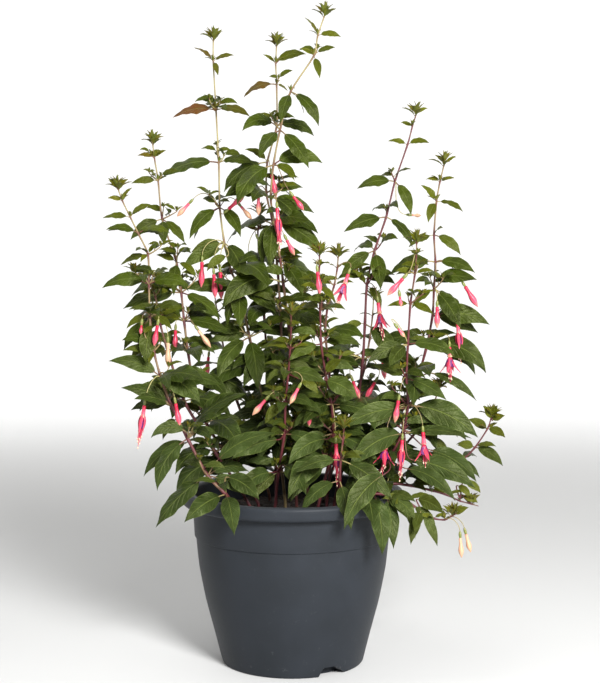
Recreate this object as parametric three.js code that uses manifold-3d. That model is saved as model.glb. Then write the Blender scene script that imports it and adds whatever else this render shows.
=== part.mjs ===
// A bushy fuchsia growing in a round plastic patio pot, in millimetres, +Z up.
// The origin is the centre of the pot's underside, and the plant is seen from the -Y side.
import * as THREE from 'three';
import { mergeVertices } from 'three/addons/utils/BufferGeometryUtils.js';
import Module from 'manifold-3d';

const wasm = await Module();
wasm.setup();

// Pot
const POT_HEIGHT = 180;
const BASE_RADIUS = 75;
const LIP_RADIUS = 116;
const LIP_DEPTH = 15;
const BELLY = [[82, 31], [91.2, 66], [98, 101]];
const BAND_HEIGHT = 133;
const BAND_RADIUS = 101.2;
const BAND_STEP = 1.6;
const FLOOR_LEVEL = 6;
const FLOOR_RADIUS = 54;
const LEDGE_LEVEL = 17;
const LEDGE_INNER_RADIUS = 56;
const LEDGE_OUTER_RADIUS = 74.5;
const INSIDE_BELLY_RADIUS = 88.2;
const INSIDE_BELLY_HEIGHT = 66;
const INSIDE_BAND_RADIUS = 98.4;
const CENTRE_FOOT_RADIUS = 20;
const UNDERSIDE_RECESS = 3;
const POT_SIDES = 30;
const NOTCH_COUNT = 3;
const NOTCH_WIDTH = 32.5;
const NOTCH_HEIGHT = 10;
const NOTCH_FIRST_TURN = -56.5;

// Soil
const SOIL_LEVEL = 156;
const SOIL_TOP_RADIUS = 100.6;
const SOIL_SIDES = 15;
const SOIL_LUMP = 2.2;
const STEM_BURIED = 35;
const SEAT_GAP = 0.3;

// Stems and leaves
const STEM_FOOT_RADIUS = 2.5;
const STEM_TIP_RADIUS = 0.9;
const COLLAR_HEIGHT = 3;
const COLLAR_SWELL = 1.18;
const STEM_END = 9;
const LONGEST_LEAF = 80;
const LEAF_GROWTH_REACH = 98;
const FACING_ROLL = 38;
const BACK_DEPTH = 70;
const SHORTEST_LEAF = 15;
const TUFT_LEAVES = 4;
const PETIOLE_SHARE = 0.13;
const BLADE_THICKNESS = 1.3;
const LEAF_CLEARANCE = 0.5;
const CROSSING_VOLUME = 0.00005;
const LEAST_FACING = 0.45;

// Flowers
const OVARY_LENGTH = 6.5;
const OVARY_RADIUS = 1.9;
const OVARY_END_RADIUS = 1.5;
const PEDICEL_RADIUS = 0.75;
const TUBE_RADIUS = 1.7;
const SEPAL_LENGTH = 19;
const COROLLA_RADIUS = 4.6;

const LEAF_GREEN = 0x3f6b2a;
const FLOWER_PINK = 0xd8345f;
const COROLLA_PURPLE = 0x5c2a8c;
const POT_GREY = 0x3b4247;
const SOIL_BROWN = 0x241d18;

// Each stem starts upright in the soil at `foot` (x, y), then bends through its joints (x, z).
// Its depth goes evenly from the first to the second value of `depth` (negative is nearer).
// `whorl` is the number of leaves at a joint. `notable` gives, for a joint by its number, leaves that
// stand out: how far each tip lies across, nearer and above the joint.
const STEMS = [
  { name: 'tall_left', foot: [-8, 18], depth: [20, 58], whorl: 2, turn: 8,
    joints: [[-14, 213], [-26, 255], [-39, 301], [-46, 338], [-57, 389], [-66, 409], [-73, 438],
      [-78, 476], [-79, 524], [-82, 580], [-85, 632], [-85, 656]],
    notable: {
      3: [[10, 40, -54], [-33, 30, -43], [41, 10, 22]],
      4: [[-60, 8, 0], [2, 32, -40], [39, 14, -24]],
      6: [[-35, 10, -10], [22, 30, -41]],
      7: [[-31, 20, -34], [23, 18, -32]],
      8: [[-60, 12, -17], [37, 14, -12]],
      9: [[-47, -3, -8], [37, 4, -8], [0, 24, -4]],
      10: [[-21, 4, 14], [23, 3, 6], [6, 14, -17]],
    } },
  { name: 'tall_mid', foot: [4, 30], depth: [32, 44], whorl: 2, turn: 40,
    joints: [[-2, 228], [-7, 271], [-11, 311], [-13, 364], [-16, 409], [-21, 458], [-28, 491],
      [-27, 524], [-17, 562], [-17, 606], [-18, 628], [-17, 648]],
    notable: {
      7: [[-46, 10, -33], [-24, 6, 13]],
      9: [[-35, 8, -15], [12, -12, -6]],
      10: [[-14, 5, 9], [33, -8, 11]],
    } },
  { name: 'tallest', foot: [17, 42], depth: [44, -8], whorl: 2, turn: 20,
    joints: [[8, 226], [4, 270], [-1, 313], [-5, 356], [-10, 396], [-13, 420], [-20, 462], [-23, 486],
      [-20, 519], [-13, 555], [-2, 594], [22, 630], [26, 650], [33, 670]],
    notable: {
      5: [[24, 20, -38], [24, -10, 3]],
      6: [[-3, 26, -50], [53, 16, -35]],
      7: [[31, 18, -30], [46, 6, -17]],
      8: [[24, 14, -15], [-37, 30, -43]],
      9: [[-21, 24, -31], [30, 18, -41]],
      10: [[-10, 26, -35], [29, 10, -37], [14, -16, -21]],
      11: [[6, 14, -25], [-15, 4, 7]],
      12: [[-14, 4, 18], [24, 3, -2]],
    } },
  { name: 'behind_mid', foot: [-18, 44], depth: [44, 72], whorl: 2, turn: 65,
    joints: [[-20, 237], [-27, 298], [-31, 360], [-36, 384], [-37, 416], [-38, 452], [-36, 470]] },
  { name: 'left', foot: [-36, 4], depth: [5, 22], whorl: 2, turn: 30,
    joints: [[-62, 203], [-91, 249], [-104, 289], [-110, 324], [-114, 356], [-117, 386], [-122, 418],
      [-137, 463], [-141, 503], [-145, 527], [-147, 543]],
    notable: {
      4: [[47, 22, -9], [-34, 10, 18]],
      5: [[42, 16, -28], [-60, 14, -17]],
      6: [[-1, 22, -35], [21, 8, -17], [-20, -6, 13]],
      7: [[-32, 12, -22], [22, 16, -26], [5, 30, -28]],
      8: [[-28, 4, -3], [-11, 14, 11], [9, -6, 5]],
      9: [[-18, 3, 2], [13, 3, 8]],
    } },
  { name: 'far_left', foot: [-52, -56], depth: [-78, -45], whorl: 2, turn: 90,
    joints: [[-66, 188], [-84, 206], [-104, 243], [-120, 275], [-131, 304], [-138, 330], [-142, 364],
      [-143, 396], [-144, 426], [-154, 447], [-162, 463], [-170, 479], [-175, 492]],
    notable: {
      0: [[9, 42, -43], [-46, 34, -20]],
      1: [[-51, 12, -50], [48, 8, -20]],
      2: [[-29, 16, -50], [60, 18, 47]],
      3: [[-50, 6, 19], [-43, -16, -6]],
      4: [[-52, 2, 16], [62, 24, -6]],
      5: [[-30, 8, 1], [-25, -12, -11], [-3, 18, -12]],
      6: [[-23, 4, -12], [20, 18, -13]],
      8: [[-27, 6, -11], [-6, 14, -8], [10, -4, 12]],
      10: [[-28, 3, -1], [23, 2, 12]],
      11: [[-15, 3, 3], [10, -2, 14]],
    } },
  { name: 'left_spray', foot: [-44, -14], depth: [-14, -22], whorl: 2, turn: 55,
    joints: [[-80, 221], [-112, 274], [-128, 324], [-137, 358], [-141, 384], [-150, 403], [-161, 406]] },
  { name: 'right', foot: [44, 12], depth: [10, 15], whorl: 2, turn: 12,
    joints: [[61, 230], [69, 273], [74, 316], [76, 353], [78, 394], [86, 430], [98, 465], [107, 502],
      [120, 540], [125, 559], [129, 572]],
    notable: {
      3: [[-25, 10, -7], [30, 18, -43]],
      4: [[-17, 6, 17], [10, 20, -26]],
      5: [[-36, 10, -27], [5, 26, -41]],
      6: [[-45, 14, -16], [27, 10, -32]],
      7: [[-40, 6, -8], [16, 14, -36]],
    } },
  { name: 'far_right', foot: [58, 18], depth: [15, -20], whorl: 2, turn: 75,
    joints: [[84, 211], [112, 256], [131, 296], [140, 328], [146, 362], [147, 390], [148, 418],
      [146, 446], [148, 480], [151, 500], [155, 518]],
    notable: {
      4: [[59, 6, -9], [50, -14, -19]],
      5: [[25, 26, -40], [-24, 10, -20]],
      6: [[-48, 8, -13], [42, 10, -11]],
      7: [[-27, 8, -13], [27, 6, -21], [11, 16, 7]],
      8: [[-17, 4, 17], [27, 6, -11], [-10, 16, -22]],
    } },
  { name: 'right_young', foot: [60, -20], depth: [-26, -60], whorl: 2, turn: 20,
    joints: [[98, 214], [114, 246], [118, 272], [116, 300], [117, 335], [119, 376], [123, 406],
      [124, 425], [124, 438]],
    notable: {
      2: [[70, 16, -31], [-40, 20, -24]],
      3: [[-36, -8, 13], [39, 20, -20]],
      4: [[-42, 14, -18], [46, 18, -10]],
      5: [[-24, 6, -2], [22, 12, -10]],
    } },
  { name: 'centre', foot: [26, -30], depth: [-31, -74], whorl: 2, turn: 35,
    joints: [[38, 214], [42, 243], [40, 274], [34, 304], [29, 336], [28, 370], [26, 394], [27, 414],
      [27, 426]],
    notable: {
      0: [[-40, 30, -37], [36, 30, -20]],
      1: [[-47, 24, -32], [44, 26, -24]],
      2: [[-39, 18, -22], [46, 14, -12]],
      3: [[15, 10, 16], [-40, 12, -18]],
      4: [[40, 10, -1], [-36, 12, -16]],
      6: [[-18, 6, 1], [16, 14, -14]],
    } },
  { name: 'centre_twin', foot: [36, 2], depth: [0, -20], whorl: 2, turn: 70,
    joints: [[41, 222], [40, 264], [38, 306], [34, 344], [36, 370], [43, 394], [46, 411], [47, 424]] },
  { name: 'front_mid', foot: [-18, -36], depth: [-38, -78], whorl: 2, turn: 0,
    joints: [[-14, 204], [-8, 244], [-7, 275], [-4, 306], [-2, 332], [-1, 353], [-1, 366]],
    notable: {
      0: [[30, 26, -13], [-24, 20, -24]],
      1: [[-48, 16, -16], [40, 18, -14]],
      2: [[-18, 16, -15], [38, 20, -8]],
    } },
  { name: 'front_right', foot: [46, -56], depth: [-80, -90], whorl: 2, turn: 45,
    joints: [[47, 202], [48, 223], [50, 243], [51, 256]],
    notable: {
      0: [[2, 40, -42], [-34, 22, -30]],
      1: [[50, 24, -36], [-44, 14, -10]],
    } },
  { name: 'low_right', foot: [70, 8], depth: [10, 5], whorl: 2, turn: 50,
    joints: [[88, 186], [112, 192], [138, 197], [159, 201], [178, 209], [192, 223], [205, 243],
      [209, 256]] },
  { name: 'trailing', foot: [62, -44], depth: [-64, -78], whorl: 2, turn: 15,
    joints: [[74, 185], [94, 186], [114, 180], [129, 170], [141, 163], [152, 162], [160, 167]],
    notable: {
      0: [[-8, 48, -46], [-40, 30, -6]],
      1: [[6, 26, -50], [20, 30, -20]],
      3: [[15, 14, -33], [-12, 20, -30]],
    } },
  { name: 'trailing_twig', foot: [74, -12], depth: [-12, -14], whorl: 2, turn: 80,
    joints: [[98, 187], [122, 186], [144, 181], [161, 176], [174, 170], [185, 167]] },
  { name: 'right_low', foot: [80, 34], depth: [30, 6], whorl: 2, turn: 5,
    joints: [[106, 206], [130, 236], [147, 264], [154, 286]] },
  { name: 'back_left', foot: [-26, 62], depth: [66, 140], whorl: 3, turn: 25,
    joints: [[-46, 223], [-62, 265], [-73, 300], [-80, 332], [-86, 361], [-90, 382]] },
  { name: 'back_right', foot: [36, 62], depth: [66, 142], whorl: 3, turn: 60,
    joints: [[52, 218], [68, 260], [79, 297], [86, 330], [90, 356], [92, 376]] },
  { name: 'back_mid', foot: [4, 68], depth: [76, 128], whorl: 3, turn: 85,
    joints: [[6, 223], [10, 266], [12, 303], [11, 336], [11, 362], [12, 382]] },
];

// Each flower hangs from a stem's joint. `at` is where its tube meets the ovary (x, z), `near` how far
// it stands in front of the stem, `lean` its turn from straight down towards +X, in degrees.
// A flower of kind fused is a pale or small bud in one piece with its stalk.
const FLOWERS = [
  { stem: 'tall_left', joint: 7, at: [-68, 474], near: 12, lean: 132, kind: 'bud', length: 24 },
  { stem: 'tall_left', joint: 7, at: [-110, 480], near: 10, lean: -43, kind: 'fused', length: 19 },
  { stem: 'tall_left', joint: 7, at: [-55, 477], near: 16, lean: 40, kind: 'fused', length: 18 },
  { stem: 'tall_left', joint: 6, at: [-96, 418], near: 14, lean: -2, kind: 'bud', length: 27 },
  { stem: 'tall_left', joint: 6, at: [-83, 405], near: 22, lean: 3, kind: 'bud', length: 25 },
  { stem: 'tall_left', joint: 6, at: [-77, 407], near: 8, lean: 2, kind: 'bud', length: 29 },
  { stem: 'tall_left', joint: 5, at: [-54, 386], near: 14, lean: -2, kind: 'fused', length: 13 },
  { stem: 'tall_mid', joint: 7, at: [-22, 510], near: 20, lean: 11, kind: 'bud', length: 25 },
  { stem: 'tall_mid', joint: 6, at: [-36, 486], near: 14, lean: 0, kind: 'bud', length: 19 },
  { stem: 'tallest', joint: 8, at: [1, 486], near: 10, lean: 37, kind: 'bud', length: 18 },
  { stem: 'tallest', joint: 7, at: [-16, 474], near: 16, lean: 4, kind: 'split', length: 29 },
  { stem: 'tallest', joint: 6, at: [-6, 441], near: 12, lean: 27, kind: 'bud', length: 18 },
  { stem: 'behind_mid', joint: 5, at: [-37, 442], near: 12, lean: 25, kind: 'bud', length: 17 },
  { stem: 'behind_mid', joint: 5, at: [-46, 418], near: 10, lean: 13, kind: 'bud', length: 26 },
  { stem: 'left', joint: 4, at: [-122, 347], near: 12, lean: -2, kind: 'bud', length: 20 },
  { stem: 'left', joint: 4, at: [-98, 347], near: 14, lean: 36, kind: 'fused', length: 22 },
  { stem: 'far_left', joint: 6, at: [-133, 356], near: 14, lean: -10, kind: 'bud', length: 21 },
  { stem: 'far_left', joint: 6, at: [-149, 356], near: 12, lean: -6, kind: 'fused', length: 9 },
  { stem: 'far_left', joint: 4, at: [-146, 277], near: 12, lean: -9, kind: 'split', length: 28 },
  { stem: 'far_left', joint: 4, at: [-115, 279], near: 14, lean: 10, kind: 'bud', length: 23 },
  { stem: 'left_spray', joint: 3, at: [-127, 336], near: 14, lean: 0, kind: 'fused', length: 25 },
  { stem: 'centre', joint: 7, at: [25, 409], near: 14, lean: 6, kind: 'bud', length: 22 },
  { stem: 'centre_twin', joint: 6, at: [57, 406], near: 12, lean: -20, kind: 'open', length: 10 },
  { stem: 'right_young', joint: 7, at: [110, 402], near: 10, lean: -43, kind: 'bud', length: 23 },
  { stem: 'right_young', joint: 6, at: [107, 384], near: 14, lean: 8, kind: 'fused', length: 10 },
  { stem: 'right_young', joint: 4, at: [106, 352], near: 14, lean: 38, kind: 'fused', length: 11 },
  { stem: 'far_right', joint: 6, at: [178, 393], near: 8, lean: 32, kind: 'bud', length: 25 },
  { stem: 'far_right', joint: 5, at: [149, 372], near: 14, lean: 0, kind: 'bud', length: 22 },
  { stem: 'far_right', joint: 4, at: [171, 355], near: 10, lean: 6, kind: 'split', length: 27 },
  { stem: 'far_right', joint: 3, at: [163, 330], near: 12, lean: 2, kind: 'open', length: 10 },
  { stem: 'right', joint: 4, at: [89, 376], near: 14, lean: 8, kind: 'open', length: 11 },
  { stem: 'right', joint: 2, at: [63, 294], near: 14, lean: 21, kind: 'bud', length: 20 },
  { stem: 'right', joint: 2, at: [86, 293], near: 14, lean: -30, kind: 'bud', length: 20 },
  { stem: 'right', joint: 7, at: [125, 467], near: 6, lean: 86, kind: 'fused', length: 9 },
  { stem: 'right_young', joint: 3, at: [107, 279], near: 14, lean: -9, kind: 'bud', length: 23 },
  { stem: 'centre', joint: 2, at: [44, 236], near: 16, lean: 2, kind: 'split', length: 28 },
  { stem: 'right_young', joint: 2, at: [95, 242], near: 20, lean: -5, kind: 'open', length: 12 },
  { stem: 'right_young', joint: 2, at: [111, 239], near: 22, lean: -3, kind: 'split', length: 27 },
  { stem: 'right_young', joint: 2, at: [132, 247], near: 18, lean: 4, kind: 'open', length: 12 },
  { stem: 'front_mid', joint: 2, at: [17, 268], near: 2, lean: 0, kind: 'fused', length: 15 },
  { stem: 'front_mid', joint: 2, at: [-27, 280], near: 8, lean: -41, kind: 'bud', length: 20 },
  { stem: 'front_mid', joint: 3, at: [6, 293], near: 12, lean: -28, kind: 'bud', length: 18 },
  { stem: 'trailing', joint: 5, at: [167, 145], near: 6, lean: 4, kind: 'fused', length: 20 },
  { stem: 'trailing', joint: 5, at: [173, 148], near: 2, lean: 15, kind: 'fused', length: 19 },
  { stem: 'back_left', joint: 3, at: [-96, 310], near: -14, lean: -6, kind: 'fused', length: 24 },
  { stem: 'back_right', joint: 3, at: [101, 308], near: -14, lean: 8, kind: 'fused', length: 24 },
  { stem: 'back_mid', joint: 3, at: [24, 314], near: -16, lean: 4, kind: 'fused', length: 24 },
];

const UP = new THREE.Vector3(0, 0, 1);
const BACKWARD = new THREE.Vector3(0, 1, 0);

function radians(degrees) {
  return THREE.MathUtils.degToRad(degrees);
}

function point(x, y, z) {
  return new THREE.Vector3(x, y, z);
}

// Sum of a start point and any number of direction and distance pairs.
function along(start, ...steps) {
  const end = start.clone();
  for (let i = 0; i < steps.length; i += 2) {
    end.addScaledVector(steps[i], steps[i + 1]);
  }
  return end;
}

// The same seed always gives the same draws.
function seededDraws(seed) {
  let state = seed >>> 0;
  return () => {
    state = (Math.imul(state, 1664525) + 1013904223) >>> 0;
    return state / 4294967296;
  };
}

// A closed skin made of bands between rings of corners.
class Skin {
  constructor() {
    this.corners = [];
  }

  triangle(a, b, c) {
    for (const corner of [a, b, c]) {
      this.corners.push(corner.x, corner.y, corner.z);
    }
  }

  // Facets alternate their diagonal, so the two faces of a waved blade are split alike.
  band(lower, upper, openFacets = []) {
    lower.forEach((corner, j) => {
      const k = (j + 1) % lower.length;
      if (openFacets.includes(j)) {
        return;
      }
      if (j % 2 === 0) {
        this.triangle(lower[j], lower[k], upper[k]);
        this.triangle(lower[j], upper[k], upper[j]);
      } else {
        this.triangle(lower[j], lower[k], upper[j]);
        this.triangle(lower[k], upper[k], upper[j]);
      }
    });
  }

  startCap(ring) {
    for (let j = 1; j < ring.length - 1; j += 1) {
      this.triangle(ring[0], ring[j + 1], ring[j]);
    }
  }

  endCap(ring) {
    for (let j = 1; j < ring.length - 1; j += 1) {
      this.triangle(ring[0], ring[j], ring[j + 1]);
    }
  }

  startPoint(tip, ring) {
    ring.forEach((corner, j) => this.triangle(tip, ring[(j + 1) % ring.length], corner));
  }

  endPoint(ring, tip) {
    ring.forEach((corner, j) => this.triangle(corner, ring[(j + 1) % ring.length], tip));
  }

  // Carries on from an open ring through more rings, to a point or a flat end.
  branch(start, rings, tip) {
    let last = start;
    for (const ring of rings) {
      this.band(last, ring);
      last = ring;
    }
    if (tip) {
      this.endPoint(last, tip);
    } else {
      this.endCap(last);
    }
  }

  geometry() {
    const shape = new THREE.BufferGeometry();
    shape.setAttribute('position', new THREE.Float32BufferAttribute(this.corners, 3));
    return mergeVertices(shape, 1e-4);
  }

  solid() {
    return toSolid(this.geometry());
  }
}

function toSolid(geometry) {
  const bare = geometry.clone();
  bare.deleteAttribute('normal');
  bare.deleteAttribute('uv');
  const merged = mergeVertices(bare, 1e-4);
  return new wasm.Manifold(new wasm.Mesh({
    numProp: 3,
    vertProperties: new Float32Array(merged.attributes.position.array),
    triVerts: new Uint32Array(merged.index.array),
  }));
}

function toGeometry(solid) {
  const mesh = solid.getMesh();
  const shape = new THREE.BufferGeometry();
  const corners = [];
  for (let i = 0; i < mesh.numVert; i += 1) {
    corners.push(...mesh.vertProperties.slice(i * mesh.numProp, i * mesh.numProp + 3));
  }
  shape.setAttribute('position', new THREE.Float32BufferAttribute(corners, 3));
  shape.setIndex(Array.from(mesh.triVerts));
  return shape;
}

// Two directions square to an axis. For an upright axis they are +X and +Y.
function squareTo(axis) {
  const first = new THREE.Vector3().crossVectors(BACKWARD, axis).normalize();
  const second = new THREE.Vector3().crossVectors(axis, first).normalize();
  return [first, second];
}

// A ring of corners round a centre, square to an axis, turned by `spin` degrees.
function ringRound(centre, axis, radius, sides, spin = 0) {
  const [first, second] = squareTo(axis);
  return Array.from({ length: sides }, (unused, j) => {
    const angle = radians(spin) + (2 * Math.PI * j) / sides;
    return along(centre, first, radius * Math.cos(angle), second, radius * Math.sin(angle));
  });
}

function middleOf(ring) {
  return along(point(0, 0, 0), ...ring.flatMap((corner) => [corner, 1 / ring.length]));
}

// The same ring begun at another corner, so that a band between it and `model` twists least.
function untwisted(ring, model) {
  const from = middleOf(ring);
  const to = middleOf(model);
  const match = (turned) => turned.reduce((sum, corner, j) => {
    const arm = corner.clone().sub(from).normalize();
    return sum + arm.dot(model[j].clone().sub(to).normalize());
  }, 0);
  const choices = ring.map((unused, shift) => [...ring.slice(shift), ...ring.slice(0, shift)]);
  choices.sort((a, b) => match(b) - match(a));
  return choices[0];
}

// Shape of the pot

// Half section of the pot: underside with a centre foot and a foot ring, wall, band, lip, inside.
function potProfile() {
  const lipBottom = POT_HEIGHT - LIP_DEPTH;
  return [
    [0, 0],
    [CENTRE_FOOT_RADIUS, 0],
    [CENTRE_FOOT_RADIUS + 2, UNDERSIDE_RECESS],
    [BASE_RADIUS - 15, UNDERSIDE_RECESS],
    [BASE_RADIUS - 13, 0],
    [BASE_RADIUS, 0],
    ...BELLY,
    [BAND_RADIUS, BAND_HEIGHT],
    [BAND_RADIUS + BAND_STEP, BAND_HEIGHT + 0.6],
    [104.6, lipBottom - 1],
    [LIP_RADIUS - 3, lipBottom + 1.5],
    [LIP_RADIUS - 0.4, lipBottom + 4],
    [LIP_RADIUS, POT_HEIGHT - 2.5],
    [LIP_RADIUS - 2.2, POT_HEIGHT],
    [LIP_RADIUS - 9.5, POT_HEIGHT],
    [LIP_RADIUS - 11.2, POT_HEIGHT - 2.5],
    [INSIDE_BAND_RADIUS, BAND_HEIGHT],
    [INSIDE_BELLY_RADIUS, INSIDE_BELLY_HEIGHT],
    [LEDGE_OUTER_RADIUS, LEDGE_LEVEL],
    [LEDGE_INNER_RADIUS, LEDGE_LEVEL],
    [FLOOR_RADIUS, FLOOR_LEVEL],
    [0, FLOOR_LEVEL],
  ];
}

function lathe(profile, sides) {
  const outline = profile.map(([radius, height]) => new THREE.Vector2(radius, height));
  const turned = new THREE.LatheGeometry(outline, sides);
  turned.rotateX(Math.PI / 2);
  return turned;
}

// A drainage notch: a block, steep on one side and sloping on the other, that reaches in under the wall.
function notchTool(turn) {
  const half = NOTCH_WIDTH / 2;
  const outline = new THREE.Shape([
    new THREE.Vector2(-half, -1),
    new THREE.Vector2(half, -1),
    new THREE.Vector2(half * 0.8, NOTCH_HEIGHT * 0.8),
    new THREE.Vector2(half * 0.4, NOTCH_HEIGHT),
    new THREE.Vector2(0, NOTCH_HEIGHT),
  ]);
  const tool = new THREE.ExtrudeGeometry(outline, { depth: 26, bevelEnabled: false });
  tool.rotateX(Math.PI / 2);
  tool.translate(0, BASE_RADIUS + 14, 0);
  tool.rotateZ(radians(turn - 90));
  return toSolid(tool);
}

function potGeometry() {
  let pot = toSolid(lathe(potProfile(), POT_SIDES));
  for (let i = 0; i < NOTCH_COUNT; i += 1) {
    pot = pot.subtract(notchTool(NOTCH_FIRST_TURN + (360 / NOTCH_COUNT) * i));
  }
  return toGeometry(pot);
}

// Shape of the soil

// Height of the soil's lumpy top at a place in plan.
function soilTop(x, y) {
  const lumps = Math.sin(x * 0.11 + 1.3) * Math.cos(y * 0.13) + 0.6 * Math.sin(x * 0.05 - y * 0.17);
  return SOIL_LEVEL + SOIL_LUMP * lumps;
}

// A ring of the soil, with its corners in line with the pot's own.
function soilRing(radius, height) {
  return Array.from({ length: SOIL_SIDES }, (unused, j) => {
    const angle = Math.PI / POT_SIDES + (2 * Math.PI * j) / SOIL_SIDES;
    const x = radius * Math.cos(angle);
    const y = radius * Math.sin(angle);
    return point(x, y, height === null ? soilTop(x, y) : height);
  });
}

function soilSolid() {
  const gap = SEAT_GAP + 0.2;
  const skin = new Skin();
  const rings = [
    soilRing(FLOOR_RADIUS - 2 * gap, FLOOR_LEVEL + gap),
    soilRing(LEDGE_INNER_RADIUS - 2 * gap, LEDGE_LEVEL + gap),
    soilRing(LEDGE_OUTER_RADIUS - gap, LEDGE_LEVEL + gap),
    soilRing(INSIDE_BELLY_RADIUS - gap, INSIDE_BELLY_HEIGHT),
    soilRing(INSIDE_BAND_RADIUS - gap, BAND_HEIGHT),
    soilRing(SOIL_TOP_RADIUS - gap, SOIL_LEVEL - 5),
    soilRing(86, null),
    soilRing(56, null),
    soilRing(28, null),
  ];
  skin.startCap(rings[0]);
  skin.branch(rings[0], rings.slice(1), point(0, 0, soilTop(0, 0)));
  return skin.solid();
}

// Rods of the stems

// The stem's axis as a list of points with its radius: buried foot, soil level, then the joints.
function stemAxis(stem) {
  const [x, y] = stem.foot;
  const count = stem.joints.length;
  const joints = stem.joints.map(([across, height], i) => {
    const depth = THREE.MathUtils.lerp(stem.depth[0], stem.depth[1], i / (count - 1));
    return point(across, depth, height);
  });
  const foot = [point(x, y, SOIL_LEVEL - STEM_BURIED), point(x, y, SOIL_LEVEL + 8)];
  return { foot, joints };
}

function stemRadius(stem, i) {
  const share = (i + 1) / stem.joints.length;
  return THREE.MathUtils.lerp(STEM_FOOT_RADIUS, STEM_TIP_RADIUS, share ** 0.8);
}

// Direction of the stem at a joint, between its neighbours.
function stemDirection(points, i) {
  const before = points[Math.max(i - 1, 0)];
  const after = points[Math.min(i + 1, points.length - 1)];
  return new THREE.Vector3().subVectors(after, before).normalize();
}

// A collar turns by up to an eighth of a circle to face its first notable leaf.
function collarTurn(stem, joint) {
  const first = stem.notable?.[joint]?.[0];
  if (!first) {
    return stem.turn;
  }
  const wanted = THREE.MathUtils.radToDeg(Math.atan2(-first[1], first[0])) - stem.turn;
  return stem.turn + wanted - 90 * Math.round(wanted / 90);
}

// A stem's bare rods: four-sided, with a short swollen collar at each joint. The facets of a collar
// are the seats that leaves and flower stalks grow from.
class Stem {
  constructor(stem) {
    this.plan = stem;
    const axis = stemAxis(stem);
    const points = [...axis.foot, ...axis.joints];
    this.joints = axis.joints;
    this.footRings = axis.foot.map((centre) => {
      return ringRound(centre, UP, STEM_FOOT_RADIUS, 4, stem.turn - 45);
    });
    this.collars = axis.joints.map((centre, i) => {
      const direction = stemDirection(points, i + 2);
      const radius = stemRadius(stem, i) * COLLAR_SWELL;
      const half = COLLAR_HEIGHT / 2;
      const turn = collarTurn(stem, i);
      const lower = ringRound(along(centre, direction, -half), direction, radius, 4, turn - 45);
      const upper = ringRound(along(centre, direction, half), direction, radius, 4, turn - 45);
      const [first, second] = squareTo(direction);
      const facets = [0, 1, 2, 3].map((j) => {
        const angle = radians(turn + 90 * j);
        return first.clone().multiplyScalar(Math.cos(angle)).addScaledVector(second, Math.sin(angle));
      });
      return { centre, direction, lower, upper, facets, taken: new Map() };
    });
  }

  // The free facet of a joint that faces a direction best.
  seat(joint, heading) {
    const collar = this.collars[joint];
    const free = [0, 1, 2, 3].filter((j) => !collar.taken.has(j));
    free.sort((a, b) => collar.facets[b].dot(heading) - collar.facets[a].dot(heading));
    return free[0];
  }

  // The corners of a facet, in the order that leads straight into a branch's first ring.
  seatRing(joint, facet, first) {
    const { lower, upper } = this.collars[joint];
    const next = (facet + 1) % 4;
    return untwisted([upper[facet], lower[facet], lower[next], upper[next]], first);
  }

  // True where a branch leaves its facet steeply enough for its first band not to fold over.
  leavesWell(joint, facet, first) {
    const { centre, facets } = this.collars[joint];
    return middleOf(first).sub(centre).normalize().dot(facets[facet]) > LEAST_FACING;
  }

  fill(joint, facet, rings, tip) {
    this.collars[joint].taken.set(facet, { rings, tip });
  }

  skin(withBranches) {
    const skin = new Skin();
    skin.startCap(this.footRings[0]);
    skin.band(this.footRings[0], this.footRings[1]);
    let last = this.footRings[1];
    this.collars.forEach((collar, joint) => {
      const open = withBranches ? [...collar.taken.keys()] : [];
      skin.band(last, collar.lower);
      skin.band(collar.lower, collar.upper, open);
      for (const facet of open) {
        const { rings, tip } = collar.taken.get(facet);
        skin.branch(this.seatRing(joint, facet, rings[0]), rings, tip);
      }
      last = collar.upper;
    });
    const end = this.collars.at(-1);
    skin.endPoint(last, along(end.centre, end.direction, STEM_END));
    return skin;
  }
}

// Blades: leaves and sepals

// Half the width of a blade along its length, as a share of its widest.
function bladeOutline(t) {
  return (t ** 0.75 * (1 - t) ** 1.2) / 0.2727;
}

// A place on a blade's midrib, which bends evenly from `rise` to `-fall` degrees, with its directions.
function midrib(blade, share) {
  const start = radians(blade.rise);
  const bend = radians(blade.rise + blade.fall);
  const heading = start - bend * share;
  const outward = (blade.length * (Math.sin(start) - Math.sin(heading))) / bend;
  const upward = (blade.length * (Math.cos(heading) - Math.cos(start))) / bend;
  const centre = along(blade.root, blade.out, outward, blade.up, upward);
  const direction = along(point(0, 0, 0), blade.out, Math.cos(heading), blade.up, Math.sin(heading));
  const flat = along(point(0, 0, 0), blade.out, -Math.sin(heading), blade.up, Math.cos(heading));
  const across = new THREE.Vector3().crossVectors(direction, flat);
  const roll = radians(blade.roll);
  const normal = along(point(0, 0, 0), flat, Math.cos(roll), across, Math.sin(roll));
  const side = along(point(0, 0, 0), across, Math.cos(roll), flat, -Math.sin(roll));
  return { centre, direction, normal, side };
}

// One ring of a blade: ridge on top, right edge, rib below, left edge.
function bladeRing(blade, share, halfWidth, wave) {
  const { centre, normal, side } = midrib(blade, share);
  const thick = blade.thickness / 2;
  const lift = blade.fold * halfWidth;
  return [
    along(centre, normal, thick),
    along(centre, side, halfWidth, normal, lift + wave),
    along(centre, normal, -thick),
    along(centre, side, -halfWidth, normal, lift - wave),
  ];
}

// Rings of a blade from its stalk to its last station, and its tip.
function bladeRings(blade) {
  const rings = [];
  if (blade.stalkRing) {
    rings.push(bladeRing(blade, blade.stalk, 0.9, 0));
  }
  blade.stations.forEach((t, i) => {
    const share = blade.stalk + t * (1 - blade.stalk);
    const halfWidth = (blade.width / 2) * bladeOutline(t);
    const wave = blade.wave * halfWidth * (i % 2 === 0 ? 1 : -1);
    rings.push(bladeRing(blade, share, halfWidth, wave));
  });
  return { rings, tip: midrib(blade, 1).centre };
}

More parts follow.
